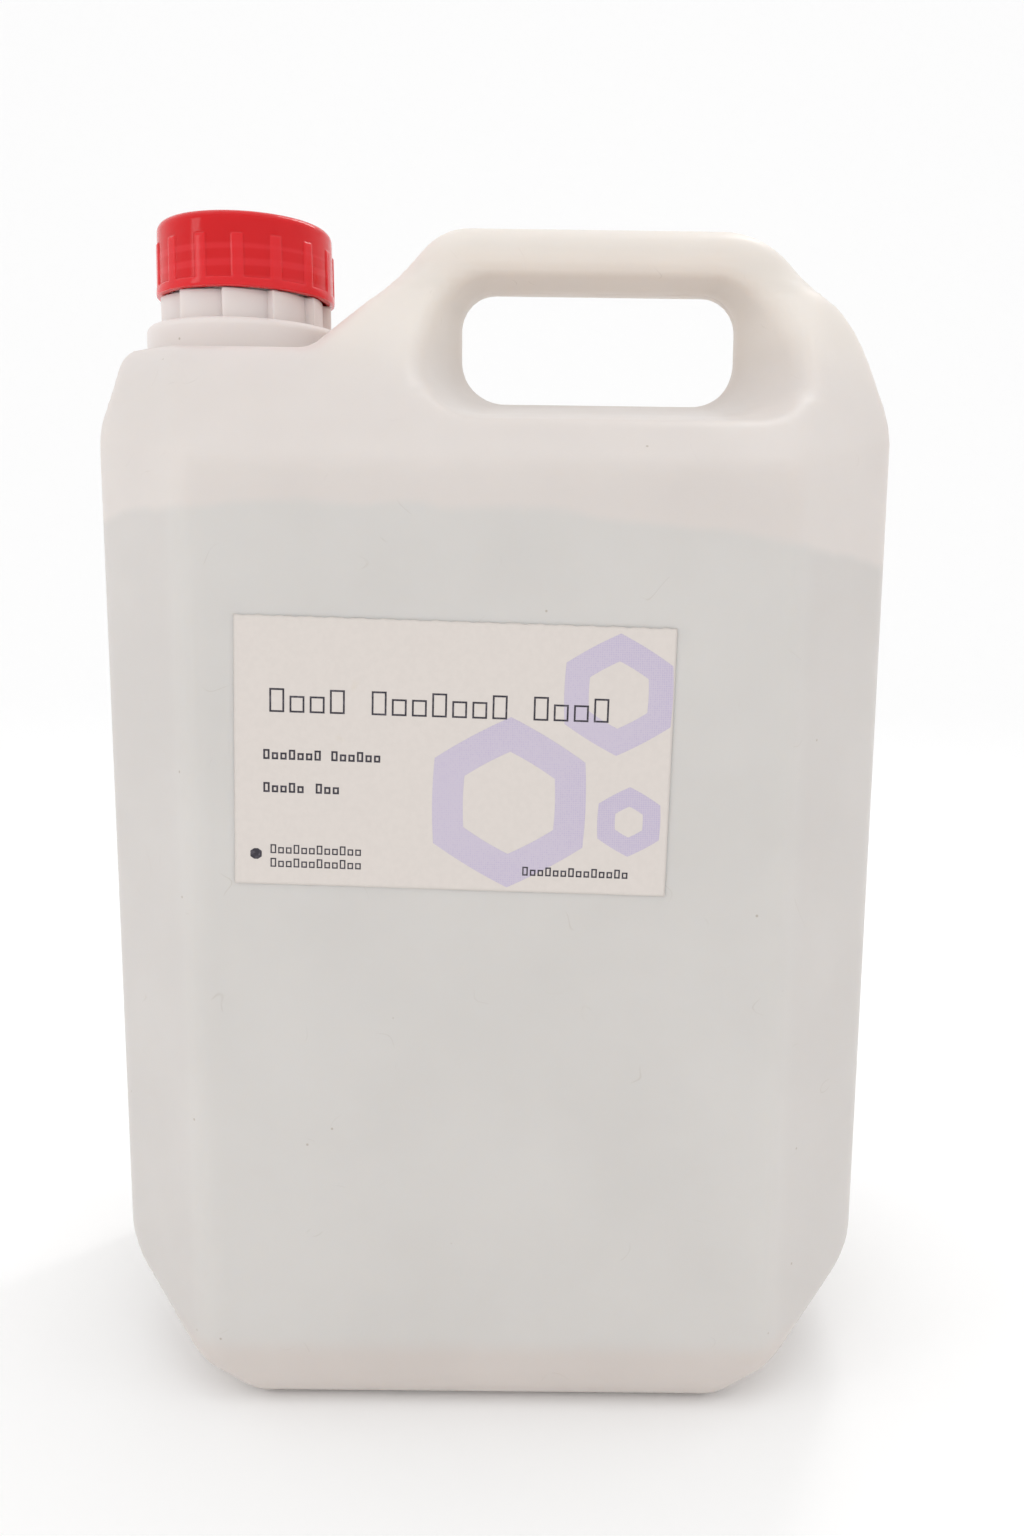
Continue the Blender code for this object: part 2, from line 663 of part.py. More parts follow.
def build_liquid(parts, cutters):
    """The liquid: the can's inside up to the fill level, clear of the wall."""
    liquid = can_solid("ethanol_fill", WALL + TOUCH_GAP, parts, cutters, with_handle=False)
    reach = CUT_REACH
    square = [(-reach, -reach), (reach, -reach), (reach, reach), (-reach, reach)]
    above = prism("above_liquid", square, FILL_Z, 2 * CAN_HEIGHT, "XY", cutters)
    hide_cutter(above)
    join(liquid, above, "DIFFERENCE")
    dress(liquid, "ethanol", (0.86, 0.87, 0.84), 0.05, 0.35)
    return liquid


def main():
    """Clears the scene and builds every piece."""
    for obj in list(bpy.data.objects):
        bpy.data.objects.remove(obj)
    parts = new_collection("jerrycan")
    cutters = new_collection("cutters")
    build_can(parts, cutters)
    build_cap(parts, cutters)
    build_liner(parts)
    build_label(parts)
    build_liquid(parts, cutters)


main()
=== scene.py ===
"""Looks of a solvent can with a moulded-through handle and a red screw cap.

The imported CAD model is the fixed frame.  The can's shell, the cap and the printed label
are new pieces worked out as surfaces, and so is the liquid; the sealing liner keeps its CAD
shape and gets a real finish.  Sizes in the classes are millimetres, in the CAD's own
axes: X along the width, the labelled front at -Y, Z up.  Meshes are written in metres.
"""

from __future__ import annotations

import logging
import math
from dataclasses import dataclass, field
from enum import Enum

import bmesh
import bpy
import numpy as np
from mathutils import Matrix, Vector


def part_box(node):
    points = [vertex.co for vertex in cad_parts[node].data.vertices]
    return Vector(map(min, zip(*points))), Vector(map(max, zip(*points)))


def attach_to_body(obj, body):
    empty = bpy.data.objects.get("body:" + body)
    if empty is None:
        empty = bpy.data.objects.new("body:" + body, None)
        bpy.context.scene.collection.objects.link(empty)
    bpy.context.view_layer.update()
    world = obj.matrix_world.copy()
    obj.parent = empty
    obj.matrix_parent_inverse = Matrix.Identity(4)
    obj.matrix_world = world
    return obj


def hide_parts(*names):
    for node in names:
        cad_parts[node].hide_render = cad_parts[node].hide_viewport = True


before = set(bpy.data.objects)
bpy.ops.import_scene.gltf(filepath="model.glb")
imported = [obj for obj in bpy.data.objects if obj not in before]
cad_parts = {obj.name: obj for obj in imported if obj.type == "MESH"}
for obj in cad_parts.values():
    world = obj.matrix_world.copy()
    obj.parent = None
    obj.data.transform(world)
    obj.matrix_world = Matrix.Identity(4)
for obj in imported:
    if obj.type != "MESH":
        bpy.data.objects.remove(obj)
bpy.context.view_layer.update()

MM = 0.001
WELD = 0.000002  # metres; closer points are one point
RUN_OUT = 0.1  # turns over which a thread rises at each of its ends
LOG = logging.getLogger("solvent_can")


class Body(Enum):
    """The rigid bodies that pieces ride on."""

    CANISTER = "canister"
    LINER = "liner"
    CAP = "cap"


# ------------------------------------------------------------------ mesh tools


def grid_quads(rows: int, columns: int) -> np.ndarray:
    """Quads of a grid of points whose columns close on themselves.

    Each quad runs along its row first and then to the next row, so its face points
    along the column direction crossed with the row direction.

    Args:
        rows: number of rows of points.
        columns: number of points in each row, joined last to first.

    Returns:
        An array of point indices, four to a face.
    """
    row = np.arange(rows - 1)[:, None]
    column = np.arange(columns)[None, :]
    beside = (column + 1) % columns
    above = row + 1
    corners = (row * columns + column, row * columns + beside)
    corners += (above * columns + beside, above * columns + column)
    return np.stack(corners, -1).reshape(-1, 4)


def open_quads(rows: int, columns: int) -> np.ndarray:
    """Quads of a grid of points that closes in neither direction.

    Args:
        rows: number of rows of points.
        columns: number of points in each row.

    Returns:
        An array of point indices, four to a face.
    """
    row = np.arange(rows - 1)[:, None]
    column = np.arange(columns - 1)[None, :]
    here = row * columns + column
    corners = (here, here + 1, here + columns + 1, here + columns)
    return np.stack(corners, -1).reshape(-1, 4)


def make_object(name: str, points: np.ndarray, faces: np.ndarray) -> bpy.types.Object:
    """Writes points in millimetres and faces to a new smooth-shaded object.

    Args:
        name: the piece's name.
        points: one row of x, y, z for each point.
        faces: one row of point indices for each face.

    Returns:
        The object, at the origin, with touching points merged.
    """
    mesh = bpy.data.meshes.new(name)
    mesh.from_pydata((points * MM).tolist(), [], faces.tolist())
    work = bmesh.new()
    work.from_mesh(mesh)
    bmesh.ops.remove_doubles(work, verts=work.verts, dist=WELD)
    bmesh.ops.dissolve_degenerate(work, edges=work.edges, dist=WELD)
    work.to_mesh(mesh)
    work.free()
    mesh.shade_smooth()
    piece = bpy.data.objects.new(name, mesh)
    bpy.context.scene.collection.objects.link(piece)
    return piece


def lathe(
    name: str, rows: list[tuple[np.ndarray, np.ndarray]], centre_x: float
) -> bpy.types.Object:
    """A closed surface round an upright axis, whose radius may change with the angle.

    A point is centre + radius * (cos angle, sin angle), at its row's height.  The rows
    run from the axis at the bottom, up the outside, and back to the axis at the top.

    Args:
        name: the piece's name.
        rows: a radius and a height for every column of each row.
        centre_x: where the axis stands.

    Returns:
        The object.
    """
    columns = max(np.size(radius) for radius, _ in rows)
    angle = np.arange(columns) * (math.tau / columns)
    radius = np.stack([np.broadcast_to(r, columns) for r, _ in rows])
    height = np.stack([np.broadcast_to(z, columns) for _, z in rows])
    x = centre_x + radius * np.cos(angle)
    points = np.stack([x, radius * np.sin(angle), height], -1).reshape(-1, 3)
    return make_object(name, points, grid_quads(len(rows), columns))


def between(start: tuple, end: tuple, count: int) -> list[tuple[np.ndarray, np.ndarray]]:
    """Rows of a lathe in a straight line from start up to, but without, end.

    Args:
        start: radius and height, each a number or one value for each column.
        end: the same, for the next stretch's first row.
        count: number of rows.

    Returns:
        The rows' radii and heights.
    """
    shares = np.arange(count) / count
    return [
        (start[0] + (end[0] - start[0]) * share, start[1] + (end[1] - start[1]) * share)
        for share in shares
    ]


def rounded(centre: tuple, radius: float, first: float, last: float, count: int) -> list[tuple]:
    """Rows of a lathe along an arc of the profile.

    Args:
        centre: radius and height of the arc's centre.
        radius: the arc's own radius.
        first: where it starts, in degrees up from outwards.
        last: where it ends.
        count: number of rows, the last of which is the arc's end.

    Returns:
        The rows' radii and heights.
    """
    angles = np.radians(np.linspace(first, last, count))
    return [
        (centre[0] + radius * math.cos(angle), centre[1] + radius * math.sin(angle))
        for angle in angles
    ]


def combine(target: bpy.types.Object, tool: bpy.types.Object, operation: str) -> None:
    """Joins or cuts two closed meshes for good, and removes the tool.

    Args:
        target: the object that is changed.
        tool: the object that it is combined with.
        operation: UNION or DIFFERENCE.
    """
    step = target.modifiers.new(operation.title(), "BOOLEAN")
    step.operation = operation
    step.solver = "MANIFOLD"
    step.object = tool
    graph = bpy.context.evaluated_depsgraph_get()
    result = bpy.data.meshes.new_from_object(target.evaluated_get(graph))
    target.modifiers.clear()
    target.data = result
    bpy.data.objects.remove(tool)


# ---------------------------------------------------------- solid from a field


def outline_distance(
    u: np.ndarray, v: np.ndarray, outline: np.ndarray
) -> tuple[np.ndarray, np.ndarray]:
    """Distance from points to a closed flat outline, negative inside it.

    The distance is the least over the outline's chords, and a point is inside when a
    ray from it crosses the outline an odd number of times.

    Args:
        u: the points' first coordinates.
        v: their second coordinates, which broadcast with the first.
        outline: the outline's points, anticlockwise.

    Returns:
        The signed distances, and how much of the nearest chord's outward normal lies
        along the second axis.
    """
    shape = np.broadcast(u, v).shape
    nearest = np.full(shape, np.inf)
    slant = np.zeros(shape)
    inside = np.zeros(shape, bool)
    for (au, av), (bu, bv) in zip(outline, np.roll(outline, -1, axis=0)):
        du, dv = bu - au, bv - av
        along = np.clip(((u - au) * du + (v - av) * dv) / (du * du + dv * dv), 0, 1)
        gap = (u - au - along * du) ** 2 + (v - av - along * dv) ** 2
        slant = np.where(gap < nearest, -du / math.hypot(du, dv), slant)
        nearest = np.minimum(nearest, gap)
        if dv:
            inside ^= ((av > v) != (bv > v)) & (u < au + (v - av) * du / dv)
    return np.where(inside, -1, 1) * np.sqrt(nearest), slant


def rounded_outline(corners: list[tuple[float, float, float]], chords: int = 8) -> np.ndarray:
    """An outline whose corners are arcs.

    Args:
        corners: first coordinate, second coordinate and radius of each corner, in order.
        chords: straight stretches in each arc.

    Returns:
        The outline's points.
    """
    corner = np.array(corners)
    place, radius = corner[:, :2], corner[:, 2]
    into = place - np.roll(place, 1, axis=0)
    into /= np.linalg.norm(into, axis=1, keepdims=True)
    out = np.roll(into, -1, axis=0)
    cross = into[:, 0] * out[:, 1] - into[:, 1] * out[:, 0]
    turn = np.arctan2(cross, (into * out).sum(1))
    cut = (radius * np.tan(np.abs(turn) / 2))[:, None]
    normal = np.stack([-into[:, 1], into[:, 0]], 1) * (np.sign(turn) * radius)[:, None]
    angle = turn[:, None] * np.linspace(0, 1, chords + 1)[None, :]
    spoke = -normal
    x = spoke[:, :1] * np.cos(angle) - spoke[:, 1:] * np.sin(angle)
    y = spoke[:, :1] * np.sin(angle) + spoke[:, 1:] * np.cos(angle)
    centre = place - into * cut + normal
    return (centre[:, None, :] + np.stack([x, y], -1)).reshape(-1, 2)


def soft_cut(first: np.ndarray, second: np.ndarray, radius: float, lean: object) -> np.ndarray:
    """The field of what two solids have in common, its new edge rounded to radius.

    Where a point lies between the two normals as seen from the edge arc's centre, the
    distance is that to the arc; elsewhere it is the larger of the two.

    Args:
        first: one solid's signed distances.
        second: the other's.
        radius: of the rounded edge.
        lean: cosine of the angle between the two faces' outward normals.

    Returns:
        The signed distances of the common solid.
    """
    a, b = first + radius, second + radius
    between_normals = (a > b * lean) & (b > a * lean)
    square = (a * a + b * b - 2 * a * b * lean) / (1 - lean * lean)
    arc = np.sqrt(np.maximum(square, 0)) - radius
    return np.where(between_normals, arc, np.maximum(first, second))


def surface_net(
    values: np.ndarray, low: np.ndarray, step: float
) -> tuple[np.ndarray, np.ndarray]:
    """The closed surface where a field sampled on a box of points changes sign.

    Each cell that the surface passes through gets one point, the mean of where the
    field crosses zero on the cell's edges.  Each sample edge with a change of sign gets
    one quad, between the four cells round it, facing the positive side.

    Args:
        values: the field on the samples, negative inside.
        low: the first sample's place.
        step: distance between samples.

    Returns:
        The points and the quads.
    """
    cells = tuple(size - 1 for size in values.shape)
    total = np.zeros(cells + (3,), np.float32)
    count = np.zeros(cells, np.int8)
    edges = []
    for axis in range(3):
        a, b = (axis + 1) % 3, (axis + 2) % 3
        turned = np.transpose(values, (axis, a, b))
        first, second = turned[:-1], turned[1:]
        crosses = (first < 0) != (second < 0)
        share = np.where(crosses, first / np.where(crosses, first - second, 1), 0)
        edges.append((axis, a, b, crosses, first < 0))
        sums = np.transpose(total, (axis, a, b, 3))
        counts = np.transpose(count, (axis, a, b))
        for da in (0, 1):
            for db in (0, 1):
                window = (slice(None), slice(da, da + cells[a]), slice(db, db + cells[b]))
                hit = crosses[window]
                counts += hit
                sums[..., axis] += share[window]
                sums[..., a] += hit * da
                sums[..., b] += hit * db
    used = count > 0
    index = np.full(cells, -1)
    index[used] = np.arange(used.sum())
    corner = np.argwhere(used)
    points = low + step * (corner + total[used] / count[used][:, None])
    quads = []
    for axis, a, b, crosses, inward in edges:
        number = np.transpose(index, (axis, a, b))
        inner = crosses[:, 1:-1, 1:-1]
        at = np.argwhere(inner)
        i, j, k = at[:, 0], at[:, 1], at[:, 2]
        beside, beyond, above = number[i, j + 1, k], number[i, j + 1, k + 1], number[i, j, k + 1]
        quad = np.stack([number[i, j, k], beside, beyond, above], 1)
        forward = inward[:, 1:-1, 1:-1][i, j, k]
        quads.append(np.where(forward[:, None], quad, quad[:, ::-1]))
    return points, np.concatenate(quads)


# -------------------------------------------------------------------- finishes


def linear(code: str) -> tuple[float, float, float, float]:
    """Turns an sRGB hex colour to the linear values that shaders work in.

    Args:
        code: six hex digits.

    Returns:
        Red, green, blue and an alpha of one.
    """
    parts = [int(code[i : i + 2], 16) / 255 for i in (0, 2, 4)]
    bent = [c / 12.92 if c <= 0.04045 else ((c + 0.055) / 1.055) ** 2.4 for c in parts]
    return (*bent, 1.0)


def set_inputs(
    tree: bpy.types.NodeTree, node: bpy.types.Node, inputs: dict[str | int, object]
) -> None:
    """Gives a node's inputs their values, or links them to other nodes' outputs.

    Args:
        tree: the material's nodes.
        node: the node.
        inputs: a value, or another node's output, for each named input.
    """
    for name, value in inputs.items():
        if isinstance(value, bpy.types.NodeSocket):
            tree.links.new(value, node.inputs[name])
        else:
            node.inputs[name].default_value = value


def add_node(
    tree: bpy.types.NodeTree,
    kind: str,
    inputs: dict[str | int, object] | None = None,
    **settings: object,
) -> bpy.types.Node:
    """Adds one node to a tree.

    Args:
        tree: the material's nodes.
        kind: the node's Blender type.
        inputs: a value, or another node's output, for each named input.
        **settings: the node's own properties.

    Returns:
        The node.
    """
    node = tree.nodes.new(kind)
    for name, value in settings.items():
        setattr(node, name, value)
    set_inputs(tree, node, inputs or {})
    return node


def start_material(name: str) -> tuple[bpy.types.Material, bpy.types.NodeTree, bpy.types.Node]:
    """A new material with its tree and its Principled shader.

    Args:
        name: what the finish is made of.

    Returns:
        The material, its node tree and its shader node.
    """
    material = bpy.data.materials.new(name)
    material.use_nodes = True
    return material, material.node_tree, material.node_tree.nodes["Principled BSDF"]


def millimetres(tree: bpy.types.NodeTree) -> bpy.types.NodeSocket:
    """The object's own coordinates in millimetres."""
    place = add_node(tree, "ShaderNodeTexCoord").outputs["Object"]
    inputs = {0: place, "Scale": 1 / MM}
    return add_node(tree, "ShaderNodeVectorMath", inputs, operation="SCALE").outputs[0]


def calculate(
    tree: bpy.types.NodeTree, operation: str, first: object, second: object = 0.0
) -> bpy.types.NodeSocket:
    """One step of arithmetic between values or sockets."""
    return add_node(tree, "ShaderNodeMath", {0: first, 1: second}, operation=operation).outputs[0]


def ramp(
    tree: bpy.types.NodeTree,
    value: object,
    low: float,
    high: float,
    start: float = 0.0,
    end: float = 1.0,
) -> bpy.types.NodeSocket:
    """A smooth change from start to end while value goes from low to high."""
    inputs = {"Value": value, "From Min": low, "From Max": high, "To Min": start, "To Max": end}
    return add_node(
        tree, "ShaderNodeMapRange", inputs, interpolation_type="SMOOTHSTEP"
    ).outputs["Result"]


def blend_colours(
    tree: bpy.types.NodeTree, share: object, first: object, second: object, mode: str = "MIX"
) -> bpy.types.NodeSocket:
    """Mixes two colours by share, or multiplies the second onto the first."""
    node = add_node(tree, "ShaderNodeMix", data_type="RGBA", blend_type=mode)
    # The mix node's inputs 0, 6 and 7 and its output 2 are those of its colour form.
    set_inputs(tree, node, {0: share, 6: first, 7: second})
    return node.outputs[2]


def dim_or_lighten(
    tree: bpy.types.NodeTree, colour: object, amount: object
) -> bpy.types.NodeSocket:
    """Multiplies a colour by one amount in all three channels."""
    grey = add_node(tree, "ShaderNodeCombineColor", {0: amount, 1: amount, 2: amount})
    return blend_colours(tree, 1.0, colour, grey.outputs[0], "MULTIPLY")


def noise(
    tree: bpy.types.NodeTree, place: object, size: float, detail: float = 2.0
) -> bpy.types.NodeSocket:
    """Soft noise whose blotches are about size millimetres across."""
    inputs = {"Vector": place, "Scale": 1 / size, "Detail": detail}
    return add_node(tree, "ShaderNodeTexNoise", inputs).outputs["Fac"]


def bump(
    tree: bpy.types.NodeTree,
    height: object,
    strength: float,
    depth: float,
    under: object = None,
) -> bpy.types.NodeSocket:
    """The normal of a relief up to depth millimetres deep, on top of another's if given."""
    inputs = {"Height": height, "Strength": strength, "Distance": depth * MM}
    if under is not None:
        inputs["Normal"] = under
    return add_node(tree, "ShaderNodeBump", inputs).outputs[0]


@dataclass(frozen=True)
class BlowMouldedHdpe:
    """Natural blow-moulded HDPE: milky, waxy and soft-edged, faintly wavy to the touch.

    Light sinks in a little, so edges glow and nothing behind is clear; the wetted wall
    looks greyer and greener than the dry wall.  The cut-off corners and the heel are
    painted darker as painted shade, and the top lighter as painted light from above.
    """

    dry: str = "DCD4CF"
    wet: str = "D5D1CD"
    # corner and heel are painted shade for the cut-off corners and the heel; handle and neck are
    # the top's tones, painted lighter as painted light.
    corner: str = "CFC9C5"
    handle: str = "EAE0D7"
    neck: str = "E2DAD7"
    heel: str = "D4CAC4"
    speck: str = "A39482"
    level: float = 215.8
    level_tilt: float = 0.04  # the wetted line falls this much for each mm along X
    level_sag: float = 0.00085  # and this much for each square mm from its crest
    level_crest: float = -5.0
    level_lift: float = 2.9
    level_blur: float = 1.6
    panel_half: float = 68.0
    heel_height: float = 16.0
    handle_from: float = 244.0
    neck_side: float = -42.0

    def material(self) -> bpy.types.Material:
        """Builds the finish.

        Returns:
            The material.
        """
        material, tree, shader = start_material("blow_moulded_hdpe")
        place = millimetres(tree)
        axes = add_node(tree, "ShaderNodeSeparateXYZ", {0: place})
        x, _, z = axes.outputs
        colour = self.wall_colour(tree, place, x, z)
        colour = self.marks(tree, place, colour)
        rough = ramp(tree, noise(tree, place, 14.0, 3.0), 0.3, 0.7, 0.36, 0.46)
        inputs = {"Base Color": colour, "Roughness": rough, "Normal": self.relief(tree, place)}
        inputs |= {"IOR": 1.54, "Specular IOR Level": 0.2, "Subsurface Weight": 0.6}
        inputs |= {"Subsurface Radius": (1.0, 0.9, 0.8), "Subsurface Scale": 3.0 * MM}
        set_inputs(tree, shader, inputs)
        return material

    def wall_colour(
        self, tree: bpy.types.NodeTree, place: object, x: object, z: object
    ) -> bpy.types.NodeSocket:
        """The wall's colour where it is dry or wetted, with painted shade on the corners and heel
        and painted light on the top.

        The wetted line is a parabola along X on a slight tilt, a little uneven.

        Args:
            tree: the material's nodes.
            place: coordinates in millimetres.
            x: their first part.
            z: their third part.

        Returns:
            The colour.
        """
        off = calculate(tree, "SUBTRACT", x, self.level_crest)
        sag = calculate(tree, "MULTIPLY", calculate(tree, "MULTIPLY", off, off), -self.level_sag)
        tilt = calculate(tree, "MULTIPLY", x, -self.level_tilt)
        drop = calculate(tree, "ADD", sag, tilt)
        line = calculate(tree, "ADD", drop, self.level + self.level_lift)
        uneven = ramp(tree, noise(tree, place, 22.0), 0.2, 0.8, -1.2, 1.2)
        above = calculate(tree, "SUBTRACT", z, calculate(tree, "ADD", line, uneven))
        wet_share = ramp(tree, above, -self.level_blur, self.level_blur, 1.0, 0.0)
        colour = blend_colours(tree, wet_share, linear(self.dry), linear(self.wet))
        side = calculate(tree, "ABSOLUTE", x)
        # Painted shade: the cut-off corners, which face aside, darkened below the wetted line.
        painted_corner_shade_share = ramp(tree, side, self.panel_half - 2, self.panel_half + 7, 0.0, 0.6)
        painted_corner_shade_share = calculate(tree, "MULTIPLY", painted_corner_shade_share, wet_share)
        colour = blend_colours(tree, painted_corner_shade_share, colour, linear(self.corner))
        # Painted shade: the heel, where the wall turns under, darkened towards the bottom.
        painted_heel_shade_share = ramp(tree, z, self.heel_height - 3, self.heel_height + 4, 0.8, 0.0)
        colour = blend_colours(tree, painted_heel_shade_share, colour, linear(self.heel))
        # Painted light: the top, from the upper shoulder up, lightened in the handle's and the
        # neck's tones.
        painted_top_light_share = ramp(tree, z, self.handle_from, self.handle_from + 26, 0.0, 0.9)
        by_neck = ramp(tree, x, self.neck_side - 6, self.neck_side + 6, 1.0, 0.0)
        high = blend_colours(tree, by_neck, linear(self.handle), linear(self.neck))
        return blend_colours(tree, painted_top_light_share, colour, high)

    def marks(
        self, tree: bpy.types.NodeTree, place: object, colour: object
    ) -> bpy.types.NodeSocket:
        """Cloudiness, fine specks and hair-thin handling scratches.

        Specks are the middles of 7 mm cells, kept in a few of them.  Scratches are thin
        level lines of a warped noise, kept in patches.

        Args:
            tree: the material's nodes.
            place: coordinates in millimetres.
            colour: the clean wall's colour.

        Returns:
            The marked colour.
        """
        cloud = ramp(tree, noise(tree, place, 38.0, 3.0), 0.25, 0.75, 0.975, 1.02)
        colour = dim_or_lighten(tree, colour, cloud)
        cells = add_node(tree, "ShaderNodeTexVoronoi", {"Vector": place, "Scale": 1 / 7.0})
        dot = ramp(tree, cells.outputs["Distance"], 0.03, 0.06, 1.0, 0.0)
        pick = add_node(tree, "ShaderNodeSeparateColor", {0: cells.outputs["Color"]}).outputs[0]
        kept = calculate(tree, "GREATER_THAN", pick, 0.72)
        speck_share = calculate(tree, "MULTIPLY", calculate(tree, "MULTIPLY", dot, kept), 0.55)
        colour = blend_colours(tree, speck_share, colour, linear(self.speck))
        warped = noise(tree, place, 17.0, 1.0)
        close = calculate(tree, "ABSOLUTE", calculate(tree, "SUBTRACT", warped, 0.52))
        line = ramp(tree, close, 0.0, 0.0035, 1.0, 0.0)
        patch = ramp(tree, noise(tree, place, 11.0, 2.0), 0.60, 0.68)
        scratch = calculate(tree, "MULTIPLY", calculate(tree, "MULTIPLY", line, patch), 0.18)
        return blend_colours(tree, scratch, colour, linear(self.speck))

    def relief(self, tree: bpy.types.NodeTree, place: object) -> bpy.types.NodeSocket:
        """The slow waves that shrinkage leaves, the parting line and a fine mould grain."""
        waves = bump(tree, noise(tree, place, 45.0, 1.0), 0.5, 0.8)
        axes = add_node(tree, "ShaderNodeSeparateXYZ", {0: place})
        off_middle = calculate(tree, "ABSOLUTE", axes.outputs[1])
        parting = bump(tree, ramp(tree, off_middle, 0.15, 0.6, 1.0, 0.0), 1.0, 0.25, waves)
        return bump(tree, noise(tree, place, 0.9, 2.0), 0.12, 0.05, parting)


@dataclass(frozen=True)
class MouldedPolypropylene:
    """Glossy injection-moulded red polypropylene, thin enough to glow.

    It is deep red in the middle and lighter where the thread inside touches its wall: the
    thicker plastic seen through it, with painted highlight along it.  Its ribs and bead
    are painted lighter as painted light.
    """

    body: str = "D00A12"
    thin: str = "D9161E"
    # thread is partly the thicker plastic seen through the wall and partly painted highlight along
    # the band.
    thread: str = "E23038"
    # rib is painted light: the proud ribs and bead painted lighter.
    rib: str = "E02A31"
    rib_foot: float = 22.38  # radius beyond which the plastic is a rib
    axis_x: float = -66.8
    thread_low: float = 275.35
    thread_high: float = 282.35
    pitch: float = 4.0
    thread_half: float = 0.9

    def material(self) -> bpy.types.Material:
        """Builds the finish.

        Returns:
            The material.
        """
        material, tree, shader = start_material("moulded_polypropylene")
        place = millimetres(tree)
        axes = add_node(tree, "ShaderNodeSeparateXYZ", {0: place})
        x, y, z = axes.outputs
        thin_share = ramp(tree, noise(tree, place, 16.0), 0.35, 0.7, 0.0, 0.55)
        colour = blend_colours(tree, thin_share, linear(self.body), linear(self.thin))
        # The band where the thread runs behind the wall: the thicker plastic seen through it, with
        # painted highlight along it.
        band = self.thread_band(tree, x, y, z)
        thread_band_and_highlight_share = calculate(tree, "MULTIPLY", band, 0.45)
        colour = blend_colours(tree, thread_band_and_highlight_share, colour, linear(self.thread))
        off_axis = calculate(tree, "SUBTRACT", x, self.axis_x)
        squares = [calculate(tree, "MULTIPLY", part, part) for part in (off_axis, y)]
        radius = calculate(tree, "SQRT", calculate(tree, "ADD", *squares))
        # Painted light: the proud ribs and the bead, which catch the light, are painted lighter.
        rib_share = ramp(tree, radius, self.rib_foot, self.rib_foot + 0.08, 0.0, 0.6)
        colour = blend_colours(tree, rib_share, colour, linear(self.rib))
        rough = ramp(tree, noise(tree, place, 5.0, 3.0), 0.3, 0.7, 0.09, 0.15)
        sinks = bump(tree, noise(tree, place, 6.0), 0.25, 0.08)
        inputs = {"Base Color": colour, "Roughness": rough, "Normal": sinks}
        inputs |= {"IOR": 1.49, "Specular IOR Level": 0.3, "Subsurface Weight": 0.6}
        inputs |= {"Subsurface Radius": (1.0, 0.25, 0.2), "Subsurface Scale": 2.0 * MM}
        set_inputs(tree, shader, inputs)
        return material

    def thread_band(
        self, tree: bpy.types.NodeTree, x: object, y: object, z: object
    ) -> bpy.types.NodeSocket:
        """One where the thread runs behind the wall, falling to zero beside it.

        The distance along Z to the helix is the height less the pitch times the turn,
        wrapped to within half a pitch.

        Args:
            tree: the material's nodes.
            x: place along X in millimetres.
            y: place along Y.
            z: place along Z.

        Returns:
            The share.
        """
        angle = calculate(tree, "ARCTAN2", y, calculate(tree, "SUBTRACT", x, self.axis_x))
        climb = calculate(tree, "MULTIPLY", angle, self.pitch / math.tau)
        height = calculate(tree, "SUBTRACT", calculate(tree, "SUBTRACT", z, climb), self.thread_low)
        wrapped = calculate(tree, "PINGPONG", height, self.pitch / 2)
        near = ramp(tree, wrapped, self.thread_half * 0.5, self.thread_half * 1.3, 1.0, 0.0)
        low = ramp(tree, z, self.thread_low - 1, self.thread_low)
        high = ramp(tree, z, self.thread_high, self.thread_high + 1, 1.0, 0.0)
        return calculate(tree, "MULTIPLY", near, calculate(tree, "MULTIPLY", low, high))


@dataclass(frozen=True)
class CoatedPaper:
    """Coated label paper: warm off-white, matte, with fibres and a few old stains."""

    sheet: str = "D9D1CB"
    stain: str = "CDBFA2"

    def material(self) -> bpy.types.Material:
        """Builds the finish.

        Returns:
            The material.
        """
        material, tree, shader = start_material("coated_paper")
        place = millimetres(tree)
        stain = ramp(tree, noise(tree, place, 13.0, 4.0), 0.66, 0.80, 0.0, 0.5)
        colour = blend_colours(tree, stain, linear(self.sheet), linear(self.stain))
        fibre = ramp(tree, noise(tree, place, 1.3, 3.0), 0.3, 0.7, 0.985, 1.01)
        colour = dim_or_lighten(tree, colour, fibre)
        rough = ramp(tree, noise(tree, place, 2.0), 0.3, 0.7, 0.58, 0.68)
        grain = bump(tree, noise(tree, place, 0.7, 3.0), 0.15, 0.03)
        set_inputs(tree, shader, {"Base Color": colour, "Roughness": rough, "Normal": grain})
        return material


class InkTone(Enum):
    """The two tones that the label is printed in."""

    DARK = "2A2530"
    LILAC = "BDB2CA"


